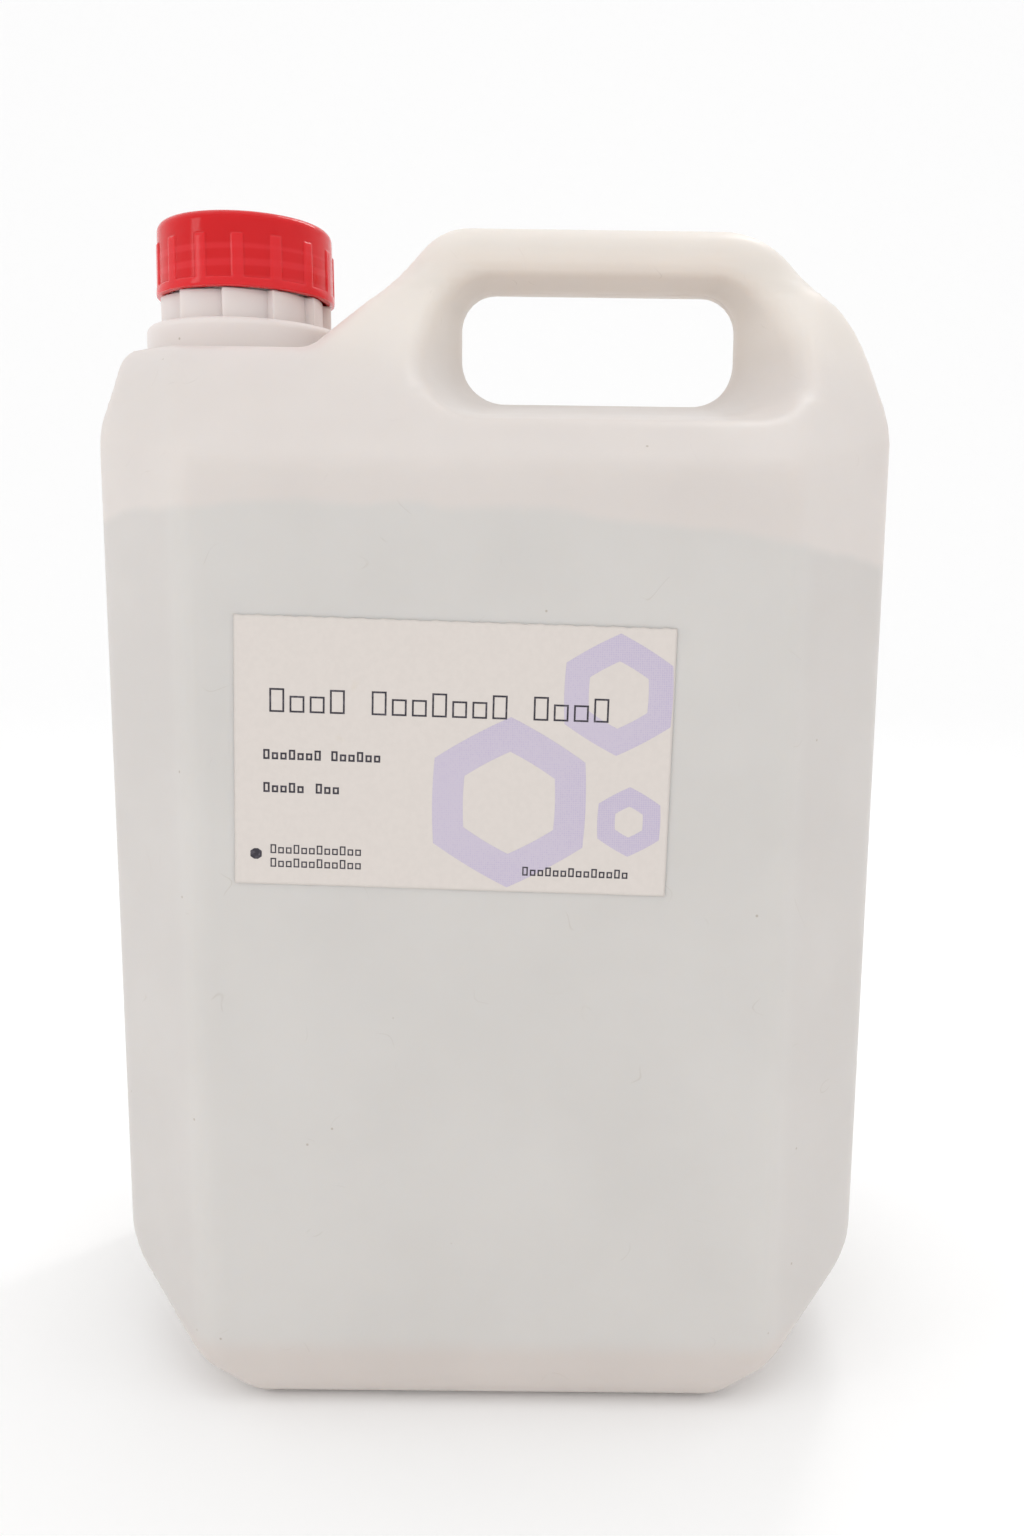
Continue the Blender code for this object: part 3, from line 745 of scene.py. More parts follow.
@dataclass(frozen=True)
class PrintedInk:
    """Laser-printed ink: a thin film that takes the paper's sheen.

    The pale tone is a screen of dots at a 0.5 mm pitch, coarser than a real screen so
    that it shows.
    """

    tone: InkTone
    screen_pitch: float = 0.5
    screen_light: str = "CCC3D0"

    def material(self) -> bpy.types.Material:
        """Builds the finish.

        Returns:
            The material.
        """
        material, tree, shader = start_material(f"printed_ink_{self.tone.name.lower()}")
        place = millimetres(tree)
        if self.tone is InkTone.LILAC:
            cells = add_node(
                tree,
                "ShaderNodeTexVoronoi",
                {"Vector": place, "Scale": 1 / self.screen_pitch, "Randomness": 0.15},
            )
            share = ramp(tree, cells.outputs["Distance"], 0.35, 0.6, 0.0, 0.7)
        else:
            share = ramp(tree, noise(tree, place, 0.8, 3.0), 0.45, 0.75, 0.0, 0.12)
        colour = blend_colours(tree, share, linear(self.tone.value), linear(self.screen_light))
        rough = ramp(tree, noise(tree, place, 1.5), 0.3, 0.7, 0.45, 0.6)
        set_inputs(tree, shader, {"Base Color": colour, "Roughness": rough})
        return material


@dataclass(frozen=True)
class PolyethyleneFoam:
    """Closed-cell polyethylene foam of a cap liner: white, matte and finely pitted."""

    body: str = "EFEFEA"
    # Painted shade for the pits.
    painted_pit_shade: str = "D9D8D1"
    cell: float = 0.45

    def material(self) -> bpy.types.Material:
        """Builds the finish.

        Returns:
            The material.
        """
        material, tree, shader = start_material("polyethylene_foam")
        cells = add_node(
            tree, "ShaderNodeTexVoronoi", {"Vector": millimetres(tree), "Scale": 1 / self.cell}
        )
        # Painted shade: the pits darker than the foam round them.
        share = ramp(tree, cells.outputs["Distance"], 0.1, 0.6, 1.0, 0.0)
        colour = blend_colours(tree, share, linear(self.body), linear(self.painted_pit_shade))
        pits = bump(tree, cells.outputs["Distance"], 0.4, 0.06)
        set_inputs(tree, shader, {"Base Color": colour, "Roughness": 0.85, "Normal": pits})
        return material


@dataclass(frozen=True)
class ClearEthanol:
    """Ethanol: clear and colourless, with a surface as smooth as glass."""

    tint: str = "F7F9F6"

    def material(self) -> bpy.types.Material:
        """Builds the finish.

        Returns:
            The material.
        """
        material, tree, shader = start_material("clear_ethanol")
        place = millimetres(tree)
        share = ramp(tree, noise(tree, place, 60.0), 0.3, 0.7, 0.0, 0.3)
        colour = blend_colours(tree, share, linear("FFFFFF"), linear(self.tint))
        inputs = {"Base Color": colour, "Transmission Weight": 1.0, "IOR": 1.36, "Roughness": 0.0}
        set_inputs(tree, shader, inputs)
        return material


# ---------------------------------------------------------------------- pieces


def attach(piece: bpy.types.Object, finish: object, body: Body) -> None:
    """Gives a piece its finish, in a material slot, and its body.

    Args:
        piece: the finished mesh.
        finish: a finish with a material method.
        body: the body that it rides on.
    """
    piece.data.materials.clear()
    piece.data.materials.append(finish.material())
    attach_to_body(piece, body.value)
    LOG.info("%s: %d faces", piece.name, len(piece.data.polygons))


def helix_rise(
    angle: np.ndarray,
    height: float,
    start: float,
    turns: float,
    first: float,
    pitch: float,
    radius: float,
) -> np.ndarray:
    """How far a round thread stands off its wall, for each angle at one height.

    With the thread's centre on a helix, the rise is the square root of radius squared
    less the squared distance along Z to the nearest turn; it runs out over a tenth of
    a turn at each end.

    Args:
        angle: in turns from +X.
        height: of the row.
        start: height of the helix's lower end.
        turns: the helix's length.
        first: where it starts, in turns from +X.
        pitch: rise for each turn.
        radius: of the thread's round section.

    Returns:
        The rise at each angle.
    """
    offset = (angle - first) % 1.0
    nearest = np.round((height - start) / pitch - offset)
    along = offset + nearest
    gap = height - start - along * pitch
    rise = np.sqrt(np.maximum(radius**2 - gap**2, 0))
    run_out = np.clip(along / RUN_OUT, 0, 1) * np.clip((turns - along) / RUN_OUT, 0, 1)
    return rise * run_out


@dataclass
class Neck:
    """The can's neck finish: flange, ratchet ring, threaded neck and rim."""

    axis_x: float = -66.8
    ledge: float = 257.0
    root: float = 252.0
    flange_radius: float = 25.4
    flange_height: float = 8.3
    flange_edge: float = 2.0
    ratchet_radius: float = 21.8
    ratchet_tooth: float = 2.2
    ratchet_height: float = 7.3
    ratchet_teeth: int = 11
    ratchet_turn: float = -3.3
    ratchet_face: float = 0.05
    radius: float = 18.7
    bore: float = 16.9
    rim: float = 287.1
    rim_edge: float = 0.6
    thread_pitch: float = 4.0
    thread_radius: float = 1.15
    thread_turns: float = 2.0
    thread_top: float = 2.6
    columns: int = 264
    thread_step: float = 0.25  # between the threaded wall's rows
    foot_fillet: float = 0.3  # where the ratchet ring meets the flange
    crest_fillet: float = 0.35  # round the ratchet ring's upper edge
    bore_columns: int = 144
    lip_bevel: float = 0.5  # inside the rim

    def tooth_radius(self, angle: np.ndarray) -> np.ndarray:
        """The ratchet ring's radius: a saw tooth that falls with the angle, then steps up.

        Args:
            angle: in turns from +X.

        Returns:
            The radius at each angle.
        """
        share = (angle + 0.25 - self.ratchet_turn / 360) * self.ratchet_teeth % 1.0
        ramp_end = 1 - self.ratchet_face
        fall = np.where(share < ramp_end, share / ramp_end, (1 - share) / self.ratchet_face)
        return self.ratchet_radius - self.ratchet_tooth * fall

    def solid(self) -> bpy.types.Object:
        """The neck without its bore, from inside the can's ledge up to the rim.

        Returns:
            The closed mesh.
        """
        angle = np.arange(self.columns) / self.columns
        flange_top = self.ledge + self.flange_height
        ratchet_top = flange_top + self.ratchet_height
        tooth = self.tooth_radius(angle)
        flat = np.zeros(self.columns)
        rows = [(flat, flat + self.root)]
        flange_side = flange_top - self.flange_edge
        rows += between((self.flange_radius, self.root), (self.flange_radius, flange_side), 6)
        inner = self.flange_radius - self.flange_edge
        rows += rounded((inner, flange_side), self.flange_edge, 0, 90, 7)
        foot, crest = self.foot_fillet, self.crest_fillet
        rows += between((inner - 0.1, flange_top), (tooth + foot, flange_top), 3)
        rows += [(tooth + foot / 3, flat + flange_top + 0.08), (tooth, flat + flange_top + foot)]
        rows += between((tooth, flange_top + 3 * foot), (tooth, ratchet_top - foot), 6)
        rows += [(tooth, flat + ratchet_top - foot), (tooth - 0.12, flat + ratchet_top - 0.08)]
        rows.append((tooth - crest, flat + ratchet_top))
        rows.append((flat + self.radius + 0.2, flat + ratchet_top))
        start = self.rim - self.thread_top - self.thread_turns * self.thread_pitch
        for height in np.arange(ratchet_top + 0.2, self.rim - self.rim_edge, self.thread_step):
            pitch, ridge = self.thread_pitch, self.thread_radius
            rise = helix_rise(angle, height, start, self.thread_turns, 0.0, pitch, ridge)
            rows.append((self.radius + rise, flat + height))
        edge = self.radius - self.rim_edge
        rows += rounded((edge, self.rim - self.rim_edge), self.rim_edge, 0, 90, 4)
        rows.append((flat, flat + self.rim))
        return lathe("neck_solid", rows, self.axis_x)

    def bore_tool(self, depth: float) -> bpy.types.Object:
        """A closed cylinder that opens the neck into the can.

        Args:
            depth: height of its lower end.

        Returns:
            The closed mesh.
        """
        lip, top = self.bore + self.lip_bevel, self.rim + 5
        profile = [(0, depth), (self.bore, depth), (self.bore, self.rim - self.lip_bevel)]
        profile += [(lip, self.rim + 0.01), (lip, top), (0, top)]
        ring = np.zeros(self.bore_columns)
        rows = [(ring + radius, ring + height) for radius, height in profile]
        return lathe("neck_bore", rows, self.axis_x)


@dataclass
class CanShell:
    """The blow-moulded can: body, cut-off corners, shoulder, handle and neck."""

    width: float
    depth: float
    height: float
    neck: Neck
    wall: float = 1.3
    step: float = 1.9
    inner_step: float = 4.0
    liquid_level: float = 216.0
    liquid_gap: float = 0.3
    base_corner: tuple[float, float] = (38.0, 28.0)
    base_radius: float = 14.0
    heel_radius: float = 10.0
    foot_edge: float = 6.5
    bar_edge: float = 11.0
    handle_edge: float = 7.0
    plan_corner: float = 27.0
    plan_radius: float = 9.0
    shoulder_drop: float = 64.0
    shoulder_radius: float = 10.0
    fold_rise: float = 9.0
    facet_shift: float = 9.0
    facet_edge: float = 6.0
    ledge_drop: float = 34.0
    ledge_radius: float = 5.0
    ledge_lean: tuple[float, float] = (2.5, 25.0)
    bar_height: float = 14.8
    bar_thickness: float = 30.0
    handle_slope: float = 47.4
    handle_left: float = -15.0
    handle_right: float = 67.0
    handle_radii: tuple[float, float] = (16.0, 24.0)  # by the neck and by the side
    bend: tuple[float, float] = (5.5, 24.0)
    bend_radius: float = 40.0
    side_drop: float = 48.0
    side_radius: float = 40.0
    hole_left: float = -10.5
    hole_right: float = 61.5
    hole_height: float = 28.6
    hole_radii: tuple[float, float] = (11.5, 9.5)  # below and above
    dish_left: float = 13.5
    dish_right: float = 20.0
    dish_below: float = 9.5
    dish_above: float = 9.0
    dish_reach: float = 53.0
    dish_floor: float = 3.0
    dish_edge: float = 6.0
    wall_lean: float = 0.2
    floor_lean: float = 0.8
    roof_lean: float = 0.45
    corner_lean: float = 0.7071
    facet_lean: float = 0.75
    front: np.ndarray = field(init=False)
    side: np.ndarray = field(init=False)

    def __post_init__(self) -> None:
        """Works out the front and side outlines from the sizes."""
        half, top = self.width / 2, self.height
        ledge = top - self.ledge_drop
        in_x, up = self.base_corner
        foot = self.handle_left - self.ledge_drop / math.tan(math.radians(self.handle_slope))
        lean, lean_height = self.ledge_lean
        self.front = rounded_outline(
            [
                (in_x - half, 0, self.base_radius),
                (half - in_x, 0, self.base_radius),
                (half, up, self.base_radius),
                (half, top - self.side_drop, self.side_radius),
                (half - self.bend[0], top - self.bend[1], self.bend_radius),
                (self.handle_right, top, self.handle_radii[1]),
                (self.handle_left, top, self.handle_radii[0]),
                (foot, ledge, self.ledge_radius),
                (lean - half, ledge, self.ledge_radius),
                (-half, ledge - lean_height, self.side_radius),
                (-half, up, self.base_radius),
            ]
        )
        # The side outline runs on past the base and the handle, so that the two
        # outlines share no face and the edge between them is rounded once.
        deep, bar = self.depth / 2, self.bar_thickness / 2
        past = self.height
        right = [
            (deep, -past, 1),
            (deep, top - self.shoulder_drop, self.shoulder_radius),
            (bar, top - self.bar_height, self.shoulder_radius),
            (bar, top + past, 1),
        ]
        left = [(-y, z, radius) for y, z, radius in reversed(right)]
        self.side = rounded_outline(right + left)

    def dish_field(self, x: np.ndarray, y: np.ndarray, z: np.ndarray) -> tuple:
        """Signed distance to the finger hole and the dish that widens from it.

        At each depth the hole is a rounded rectangle, whose sides move out in
        proportion to the distance from the handle's core.

        Args:
            x: places along the width.
            y: places through the depth.
            z: heights.

        Returns:
            The distances, negative inside the opening, and the cosine of the angle
            between the opening's wall and the shoulder or handle that it cuts.
        """
        top = self.height - self.bar_height
        share = np.maximum((np.abs(y) - self.dish_floor) / self.dish_reach, 0)
        left = self.hole_left - self.dish_left * share
        right = self.hole_right + self.dish_right * share
        low = top - self.hole_height - self.dish_below * share
        high = top + self.dish_above * share
        middle = (low + high) / 2
        below, above = self.hole_radii
        mix = np.clip((z - middle) / 6 + 0.5, 0, 1)
        radius = below + (above - below) * mix + self.dish_below * share
        across = np.abs(x - (left + right) / 2) - (right - left) / 2 + radius
        upward = np.abs(z - middle) - (high - low) / 2 + radius
        outside = np.hypot(np.maximum(across, 0), np.maximum(upward, 0))
        level = np.clip((upward - across) / 6 + 0.5, 0, 1)
        lean = self.wall_lean + level * (self.floor_lean - self.wall_lean)
        lean += level * mix * (self.roof_lean - self.floor_lean)
        return outside + np.minimum(np.maximum(across, upward), 0) - radius, lean

    def field_at(self, x: np.ndarray, y: np.ndarray, z: np.ndarray) -> np.ndarray:
        """Signed distance to the can without its neck, negative inside.

        It is what the front and side outlines, the four cut-off corners and the four
        shoulder facets have in common, less the dish, with every edge rounded.

        Args:
            x: places along the width.
            y: places through the depth.
            z: heights.

        Returns:
            The distances.
        """
        heel = np.clip((30 - z) / 20, 0, 1) * np.clip((68 - np.abs(x)) / 16, 0, 1)
        edge = self.handle_edge + (self.heel_radius - self.handle_edge) * heel
        handle = np.clip((x + 52) / 8, 0, 1) * np.clip((z - 240) / 14, 0, 1)
        edge = edge + (self.bar_edge - self.handle_edge) * handle
        edge -= (self.handle_edge - self.foot_edge) * np.clip((60 - z) / 20, 0, 1) * (1 - heel)
        half, deep = self.width / 2, self.depth / 2
        shoulder = self.height - self.shoulder_drop
        front, front_slant = outline_distance(x, z, self.front)
        side, side_slant = outline_distance(y, z, self.side)
        body = soft_cut(front, side, edge, np.clip(front_slant * side_slant, 0, 0.8))
        corner = (np.abs(x) + np.abs(y) - (half + deep - self.plan_corner)) / math.sqrt(2)
        body = soft_cut(body, corner, self.plan_radius, self.corner_lean)
        normal, reach = self.facet_plane(half, deep, shoulder)
        facet = np.abs(x) * normal[0] + np.abs(y) * normal[1] + z * normal[2] - reach
        body = soft_cut(body, facet, self.facet_edge, self.facet_lean)
        dish, lean = self.dish_field(x, y, z)
        return soft_cut(body, -dish, self.dish_edge, lean)

    def facet_plane(self, half: float, deep: float, shoulder: float) -> tuple[np.ndarray, float]:
        """The plane of a shoulder facet, through its fold and its end on the ledge.

        Args:
            half: half the can's width.
            deep: half its depth.
            shoulder: height of the shoulder's fold.

        Returns:
            The plane's outward normal and its distance from the origin.
        """
        rise = self.height - self.ledge_drop - shoulder
        slope = (deep - self.bar_thickness / 2) / (self.height - self.bar_height - shoulder)
        front = np.array([half - self.plan_corner, deep, shoulder])
        side = np.array([half, deep - self.plan_corner, shoulder + self.fold_rise])
        end = np.array([front[0] + self.facet_shift, deep - rise * slope, shoulder + rise])
        normal = np.cross(side - front, end - front)
        normal *= np.sign(normal[2]) / np.linalg.norm(normal)
        return normal, float(normal @ front)

    def form(self, name: str, inset: float, step: float, level: float = 1000.0) -> bpy.types.Object:
        """The can's form drawn in by inset and cut off at a level, as a mesh of even quads.

        The surface net's points are moved onto the field's zero, each by the field's
        value along its gradient.

        Args:
            name: the mesh's name.
            inset: how far inside the outer form it lies.
            step: size of its faces.
            level: height above which nothing is kept.

        Returns:
            The closed mesh.
        """

        def value_at(x: np.ndarray, y: np.ndarray, z: np.ndarray) -> np.ndarray:
            """The drawn-in form's field, below the level."""
            return np.maximum(self.field_at(x, y, z) + inset, z - level)

        low = np.array([-self.width / 2, -self.depth / 2, 0.0]) - 2.5 * step
        high = np.array([self.width / 2, self.depth / 2, self.height]) + 2.5 * step
        axes = [np.arange(a, b + step, step) for a, b in zip(low, high)]
        values = value_at(axes[0][:, None, None], axes[1][None, :, None], axes[2][None, None, :])
        points, quads = surface_net(values, low, step)
        nudge = 0.05
        for _ in range(3):
            x, y, z = points.T
            value = value_at(x, y, z)
            slope = np.stack(
                [
                    value_at(x + nudge, y, z) - value_at(x - nudge, y, z),
                    value_at(x, y + nudge, z) - value_at(x, y - nudge, z),
                    value_at(x, y, z + nudge) - value_at(x, y, z - nudge),
                ],
                1,
            ) / (2 * nudge)
            length = np.maximum((slope**2).sum(1, keepdims=True), 0.2)
            points = points - np.clip(value[:, None] * slope / length, -step, step)
        return make_object(name, points, quads)

    def liquid(self) -> bpy.types.Object:
        """Builds the liquid: the cavity's own form, a hair smaller, up to the level.

        Returns:
            The piece.
        """
        inset = self.wall + self.liquid_gap
        liquid = self.form("ethanol", inset, self.inner_step, self.liquid_level)
        liquid.data.set_sharp_from_angle(angle=math.radians(50))
        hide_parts("ethanol_fill")
        attach(liquid, ClearEthanol(), Body.CANISTER)
        return liquid

    def build(self) -> bpy.types.Object:
        """Builds the hollow shell with its neck and its open bore.

        Returns:
            The piece.
        """
        shell = self.form("can_shell", 0.0, self.step)
        combine(shell, self.neck.solid(), "UNION")
        combine(shell, self.form("can_cavity", self.wall, self.inner_step), "DIFFERENCE")
        combine(shell, self.neck.bore_tool(self.neck.ledge - 14), "DIFFERENCE")
        shell.data.shade_smooth()
        shell.data.set_sharp_from_angle(angle=math.radians(40))
        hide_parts("canister_body")
        attach(shell, BlowMouldedHdpe(), Body.CANISTER)
        return shell


@dataclass
class ScrewCap:
    """The ribbed cap with its lower bead, grip ribs and inner thread."""

    axis_x: float = -66.8
    low: float = 272.8
    top: float = 290.9
    plate: float = 2.0
    bore: float = 20.5
    radius: float = 22.15
    edge: float = 2.4
    flare: float = 0.2
    bead_height: float = 2.2
    bead_proud: float = 0.55
    ribs: int = 15
    rib_width: float = 2.8
    rib_proud: float = 0.34
    rib_height: float = 10.2
    rib_turn: float = 7.8
    rib_edge: float = 0.3
    thread_pitch: float = 4.0
    thread_radius: float = 1.15
    thread_turns: float = 1.75
    thread_floor: float = 2.3
    neck_thread_start: float = 276.5
    columns_in_rib: int = 30
    thread_step: float = 0.3  # between the inner wall's rows
    step_radius: float = 17.6  # of the shallow step in the top
    step_depth: float = 0.25
    gate_radius: float = 2.2  # of the gate mark in its middle
    gate_depth: float = 0.08

    def angles(self) -> np.ndarray:
        """Column angles in turns, even all the way round."""
        count = self.ribs * self.columns_in_rib
        return np.arange(count) / count

    def rib_share(self, angle: np.ndarray, radius: float) -> np.ndarray:
        """One on a rib and zero between ribs, with narrow smooth flanks.

        Args:
            angle: in turns from +X.
            radius: where the rib's width is measured.

        Returns:
            The share at each angle.
        """
        share = (angle + 0.25 - self.rib_turn / 360) * self.ribs
        off = np.abs(share - np.round(share)) / self.ribs * math.tau * radius
        level = np.clip((self.rib_width / 2 - off) / self.rib_edge + 0.5, 0, 1)
        return level * level * (3 - 2 * level)

    def build(self) -> bpy.types.Object:
        """Builds the cap.

        The wall's radius is the body's, less the draft, plus the rib's share times how
        far a rib stands proud.

        Returns:
            The piece.
        """
        angle = self.angles()
        flat = np.zeros(angle.size)
        under = self.top - self.plate
        bead_top = self.low + self.bead_height
        rib_top = bead_top + self.rib_height
        start = self.low + self.thread_floor
        turns_up = (start - self.neck_thread_start - self.thread_pitch / 2) / self.thread_pitch
        first = turns_up - math.floor(turns_up)
        inside = [(0, under), (self.bore - 1.2, under)]
        inside += [(self.bore - 0.35, under - 0.1), (self.bore, under - 0.5)]
        rows = [(flat + radius, flat + height) for radius, height in inside]
        for height in np.arange(under - 1, self.low + 0.6, -self.thread_step):
            pitch, ridge = self.thread_pitch, self.thread_radius
            rise = helix_rise(angle, height, start, self.thread_turns, first, pitch, ridge)
            rows.append((self.bore - rise, flat + height))
        bead = self.radius + self.bead_proud
        lower = [(self.bore, self.low + 0.3), (self.bore + 0.2, self.low)]
        lower += [(bead - 0.5, self.low), (bead - 0.12, self.low + 0.12)]
        lower += [(bead, self.low + 0.5), (bead, bead_top - 0.4)]
        rows += [(flat + radius, flat + height) for radius, height in lower]
        proud = self.rib_share(angle, self.radius) * self.rib_proud
        joint = np.maximum(proud + self.flare, self.bead_proud - 0.1)
        rows.append((self.radius + joint, flat + bead_top - 0.12))
        outside = [(1.0, bead_top)]
        outside += [(1.0, height) for height in np.linspace(bead_top + 0.25, rib_top - 0.3, 18)]
        outside += [(0.75, rib_top - 0.1), (0.25, rib_top + 0.05), (0.0, rib_top + 0.2)]
        for share, height in outside:
            draft = self.flare * (1 - (height - bead_top) / (self.top - bead_top))
            rows.append((self.radius + draft + proud * share, flat + height))
        upper = (self.radius, self.top - self.edge)
        rows += between((flat + self.radius + 0.05, rib_top + 0.5), upper, 3)
        rows += rounded((self.radius - self.edge, self.top - self.edge), self.edge, 0, 90, 9)
        # A shallow step and a gate mark, as a moulded cap's flat top has.
        plate = self.top - self.step_depth
        gate = self.top - self.gate_depth
        middle = [(self.step_radius, self.top), (self.step_radius - 0.3, plate)]
        middle += [(self.gate_radius, plate), (self.gate_radius - 0.3, gate - 0.02)]
        middle += [(self.gate_radius - 1, gate), (0, gate)]
        rows += [(flat + radius, flat + height) for radius, height in middle]
        cap = lathe("ribbed_cap", rows, self.axis_x)
        cap.data.set_sharp_from_angle(angle=math.radians(50))
        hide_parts("screw_cap")
        attach(cap, MouldedPolypropylene(), Body.CAP)
        return cap


@dataclass
class PaperLabel:
    """The stuck-on label, with a generic print of open boxes and six-sided rings."""

    width: float = 99.0
    height: float = 61.5
    centre_x: float = -8.0
    centre_z: float = 162.7
    turn: float = -1.2
    face: float = -64.0
    thickness: float = 0.15
    glue: float = 0.03
    ink: float = 0.03
    spacing: float = 0.75

    def place(self, u: np.ndarray, v: np.ndarray, lift: float) -> np.ndarray:
        """Points at u, v on the paper, lift above the can's face.

        The paper bows off the wall in low bubbles: a product of two sines, and a lift
        of its upper right corner with the cube of the distance.

        Args:
            u: across from the label's middle.
            v: up from its middle.
            lift: how far off the wall.

        Returns:
            One row of x, y, z for each point.
        """
        bubble = 0.045 * (np.sin(u / 9.0 + 0.7) * np.sin(v / 7.0) + 1)
        curl = 0.08 * np.clip(u / (self.width / 2), 0, 1) ** 3
        turn = math.radians(self.turn)
        x = self.centre_x + u * math.cos(turn) - v * math.sin(turn)
        z = self.centre_z + u * math.sin(turn) + v * math.cos(turn)
        return np.stack([x, self.face - lift - bubble - curl, z], -1)

    def paper(self) -> bpy.types.Object:
        """The sheet: a front and a back grid joined round the edge.

        Returns:
            The piece.
        """
        columns = round(self.width / self.spacing)
        rows = round(self.height / self.spacing)
        across = np.linspace(-1, 1, columns) * self.width / 2
        upward = np.linspace(-1, 1, rows) * self.height / 2
        u, v = np.meshgrid(across, upward)
        # The cut edge wanders by about a tenth of a millimetre.
        v = v + (v == upward[-1]) * 0.09 * (np.sin(u * 1.1) + np.sin(u * 2.7 + 1))
        front = self.place(u, v, self.glue + self.thickness).reshape(-1, 3)
        back = self.place(u, v, self.glue).reshape(-1, 3)
        quads = open_quads(rows, columns)
        count = rows * columns
        number = np.arange(count).reshape(rows, columns)
        sides = [number[0, :-1], number[:-1, -1], number[-1, :0:-1], number[:0:-1, 0]]
        rim = np.concatenate(sides)
        ahead = np.roll(rim, -1)
        edge = np.stack([ahead, rim, rim + count, ahead + count], 1)
        faces = np.concatenate([quads, quads[:, ::-1] + count, edge])
        sheet = make_object("label_paper", np.concatenate([front, back]), faces)
        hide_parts("label")
        attach(sheet, CoatedPaper(), Body.CANISTER)
        return sheet

    def bar(self, left: float, top: float, length: float, height: float) -> tuple:
        """A printed bar with rounded ends; one as long as it is high is a dot.

        Args:
            left: from the label's left edge.
            top: down from its top edge to the bar's middle.
            length: of the bar.
            height: of the bar.

        Returns:
            Its points on the paper and its quads.
        """
        columns = max(3, round(length / self.spacing) + 1)
        rounding = np.linspace(-1, 1, columns)
        end = np.clip((1 - np.abs(rounding)) * length / height, 0, 1)
        half = height / 2 * np.sqrt(1 - (1 - end) ** 2 * 0.75)
        u = left + (rounding + 1) / 2 * length - self.width / 2
        u = np.broadcast_to(u, (3, columns))
        v = self.height / 2 - top + np.array([-1, 0, 1])[:, None] * half
        points = self.place(u, v, self.glue + self.thickness + self.ink)
        return points.reshape(-1, 3), open_quads(3, columns)

    def ring(self, u0: float, v0: float, radius: float, band: float, sides: int) -> tuple:
        """A printed ring with flattened sides.

        Its radius is the ring's, divided by the cosine of the angle from the nearest
        side's middle, softened at the corners.

        Args:
            u0: centre across.
            v0: centre up.
            radius: to the middle of a side.
            band: the ring's width.
            sides: number of flattened sides.

        Returns:
            Its points on the paper and its quads.
        """
        columns = 24 * sides
        angle = np.arange(columns) * math.tau / columns
        fold = (angle / math.tau * sides + 0.5) % 1.0 - 0.5
        stretch = 1 / np.cos(fold * math.tau / sides * 0.92)
        reach = (radius + np.linspace(-band / 2, band / 2, 4)[:, None]) * stretch
        u = u0 + reach * np.cos(angle)
        v = v0 + reach * np.sin(angle)
        points = self.place(u, v, self.glue + self.thickness + self.ink / 2)
        return points.reshape(-1, 3), grid_quads(4, columns)[:, ::-1]

    def print_piece(self, name: str, shapes: list[tuple], tone: InkTone) -> bpy.types.Object:
        """Joins printed shapes into one piece in one ink.

        Args:
            name: the piece's name.
            shapes: points and quads of each shape.
            tone: the ink.

        Returns:
            The piece.
        """
        starts = np.cumsum([0] + [len(points) for points, _ in shapes[:-1]])
        points = np.concatenate([points for points, _ in shapes])
        faces = np.concatenate([quads + start for (_, quads), start in zip(shapes, starts)])
        piece = make_object(name, points, faces)
        attach(piece, PrintedInk(tone), Body.CANISTER)
        return piece

    def word(
        self, left: float, top: float, letters: int, height: float, stroke: float
    ) -> list[tuple]:
        """A word of a dummy text: one open box for each letter space.

        Boxes take turns at full height and at seven tenths of it, all on one base line.

        Args:
            left: from the label's left edge.
            top: down from its top edge to the base line.
            letters: number of boxes.
            height: of a full box.
            stroke: of the boxes' lines.

        Returns:
            Points and quads of every box.
        """
        shapes = []
        for number in range(letters):
            tall = height * (1.0 if number % 3 == 0 else 0.7)
            wide = height * 0.62
            start = left + number * height * 0.84
            u0 = start + wide / 2 - self.width / 2
            v0 = self.height / 2 - top + tall / 2
            outer = np.array([[-1, -1], [1, -1], [1, 1], [-1, 1]]) * [wide / 2, tall / 2]
            inner = outer * (1 - stroke / np.array([wide / 2, tall / 2]))
            u, v = np.stack([inner, outer]).transpose(2, 0, 1) + np.array([u0, v0])[:, None, None]
            points = self.place(u, v, self.glue + self.thickness + self.ink)
            shapes.append((points.reshape(-1, 3), grid_quads(2, 4)[:, ::-1]))
        return shapes

    def build(self) -> None:
        """Builds the sheet and its two prints."""
        self.paper()
        shapes = []
        # Each word: from the left, down to its base line, boxes, height and stroke.
        for word in (
            (8.0, 21.6, 4, 5.4, 0.42),
            (31.0, 21.6, 7, 5.4, 0.42),
            (67.5, 21.6, 4, 5.4, 0.42),
            (6.6, 32.4, 7, 2.3, 0.42),
            (22.0, 32.4, 6, 2.3, 0.42),
            (6.6, 40.0, 5, 2.3, 0.42),
            (18.5, 40.0, 3, 2.3, 0.42),
            (8.2, 54.2, 12, 2.1, 0.3),
            (8.2, 57.4, 12, 2.1, 0.3),
            (66.0, 57.6, 14, 2.1, 0.34),
        ):
            shapes += self.word(*word)
        shapes.append(self.bar(3.6, 54.4, 2.6, 2.6))
        self.print_piece("label_print_words", shapes, InkTone.DARK)
        # Each ring: its centre across and up, its radius, its band and its sides.
        big, upper = (13.0, -10.0, 14.0, 7.0, 6), (37.0, 15.5, 9.5, 5.5, 6)
        rings = [self.ring(*place) for place in (big, upper, (40.5, -13.5, 5.2, 4.0, 6))]
        self.print_piece("label_print_rings", rings, InkTone.LILAC)


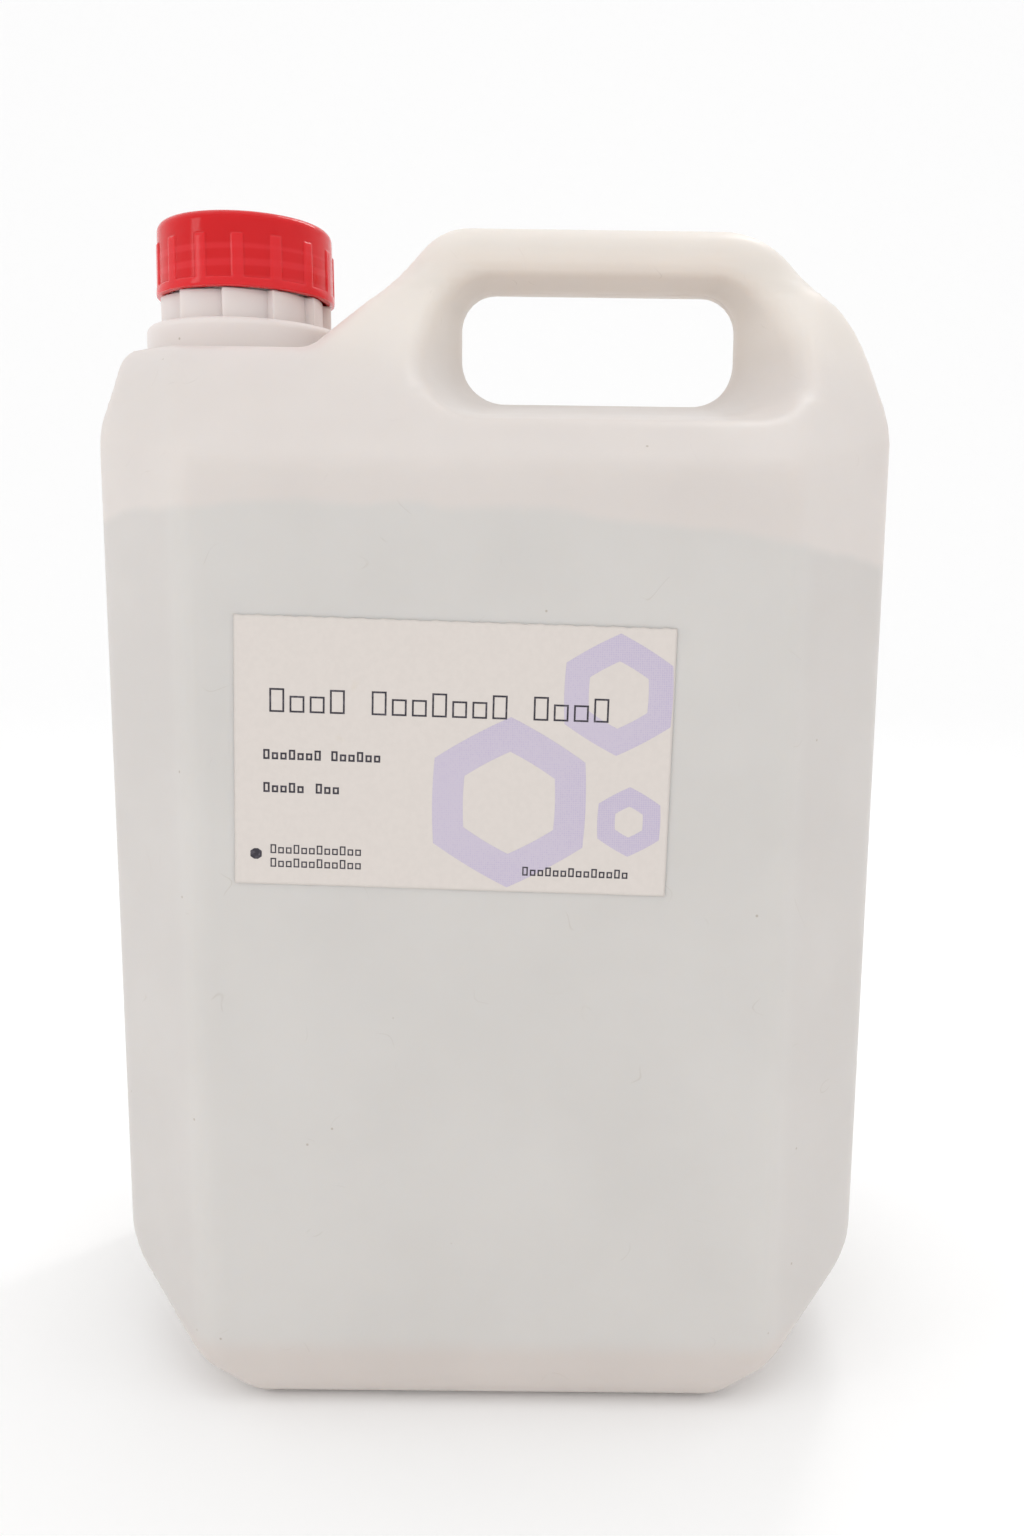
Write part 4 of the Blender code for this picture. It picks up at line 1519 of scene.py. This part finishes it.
@dataclass
class Studio:
    """A pale floor and backdrop, soft lights and the camera."""

    camera_place: tuple[float, float, float] = (13.5, -350.1, 206.7)
    yaw: float = 0.27
    pitch: float = 9.15
    roll: float = 0.73
    lens: float = 29.9
    sensor: float = 36.0
    shift_x: float = -0.027
    floor_width: float = 8000.0
    floor_front: float = -2600.0
    floor_back: float = 1500.0
    sweep_radius: float = 900.0
    wall_top: float = 4000.0
    floor_colour: str = "FEFEFE"
    sky: float = 0.985
    middle: tuple[float, float, float] = (0.0, 0.0, 150.0)
    cap_side: tuple[float, float, float] = (-60.0, 0.0, 280.0)

    def camera(self) -> None:
        """Sets the camera by its place and its yaw, pitch and roll."""
        data = bpy.data.cameras.new("camera")
        data.lens = self.lens
        data.sensor_width = self.sensor
        data.shift_x = self.shift_x
        data.clip_start = 0.01
        turn, dip, tilt = (math.radians(value) for value in (self.yaw, self.pitch, self.roll))
        level = math.cos(dip)
        ahead = Vector((math.sin(turn) * level, math.cos(turn) * level, -math.sin(dip)))
        right = Vector((math.cos(turn), -math.sin(turn), 0))
        up = right.cross(ahead)
        right_rolled = right * math.cos(tilt) + up * math.sin(tilt)
        up_rolled = up * math.cos(tilt) - right * math.sin(tilt)
        facing = Matrix((right_rolled, up_rolled, -ahead)).transposed().to_4x4()
        camera = bpy.data.objects.new("camera", data)
        camera.matrix_world = Matrix.Translation(Vector(self.camera_place) * MM) @ facing
        bpy.context.scene.collection.objects.link(camera)
        bpy.context.scene.camera = camera

    def sweep(self) -> None:
        """The floor, curving up into the backdrop: flat, a quarter circle, upright."""
        arc = np.linspace(0, math.pi / 2, 24)
        y = np.concatenate([[self.floor_front], self.floor_back + self.sweep_radius * np.sin(arc)])
        z = np.concatenate([[0.0], self.sweep_radius * (1 - np.cos(arc))])
        y, z = np.append(y, y[-1]), np.append(z, self.wall_top)
        x = np.array([-1, 1])[None, :] * self.floor_width / 2
        points = np.stack(np.broadcast_arrays(x, y[:, None], z[:, None]), -1).reshape(-1, 3)
        floor = make_object("studio_sweep", points, open_quads(len(y), 2))
        material, tree, shader = start_material("seamless_paper")
        colour = linear(self.floor_colour)
        inputs = {"Base Color": colour, "Roughness": 0.9, "Specular IOR Level": 0.1}
        set_inputs(tree, shader, inputs)
        floor.data.materials.append(material)

    def light(self, name: str, place: tuple, size: tuple, power: float, aim: tuple) -> None:
        """One soft rectangular light that looks at a point.

        Args:
            name: the light's name.
            place: where it stands.
            size: its width and height.
            power: in watts.
            aim: where it points.
        """
        data = bpy.data.lights.new(name, "AREA")
        data.shape = "RECTANGLE"
        data.size, data.size_y = size[0] * MM, size[1] * MM
        data.energy = power
        lamp = bpy.data.objects.new(name, data)
        lamp.location = Vector(place) * MM
        toward = (Vector(aim) - Vector(place)).normalized()
        lamp.rotation_euler = toward.to_track_quat("-Z", "Y").to_euler()
        bpy.context.scene.collection.objects.link(lamp)

    def build(self) -> None:
        """Sets up the whole studio."""
        self.camera()
        self.sweep()
        world = bpy.data.worlds.new("studio")
        world.use_nodes = True
        back = world.node_tree.nodes["Background"]
        back.inputs["Color"].default_value = (1, 1, 1, 1)
        back.inputs["Strength"].default_value = self.sky
        bpy.context.scene.world = world
        bpy.context.scene.view_settings.view_transform = "Standard"
        self.light("overhead", (0, 0, 1300), (1400, 1000), 0.9, self.middle)
        self.light("rim_strip", (240, 380, 900), (60, 420), 0.9, self.cap_side)
        self.light("left_strip", (-620, -420, 420), (150, 300), 0.3, self.cap_side)


def dress_frame_nodes() -> None:
    """Gives the liner, which keeps its CAD shape, its real finish."""
    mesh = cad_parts["cap_liner"].data
    mesh.materials.clear()
    mesh.materials.append(PolyethyleneFoam().material())
    LOG.info("cap_liner: carried over")


def main() -> None:
    """Builds the studio and every piece."""
    logging.basicConfig(level=logging.INFO, format="%(message)s")
    Studio().build()
    low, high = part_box("canister_body")
    width, depth, height = (round((b - a) / MM, 3) for a, b in zip(low, high))
    can = CanShell(width=width, depth=depth, height=height, neck=Neck())
    can.build()
    can.liquid()
    ScrewCap().build()
    PaperLabel().build()
    dress_frame_nodes()


if __name__ == "__main__":
    main()
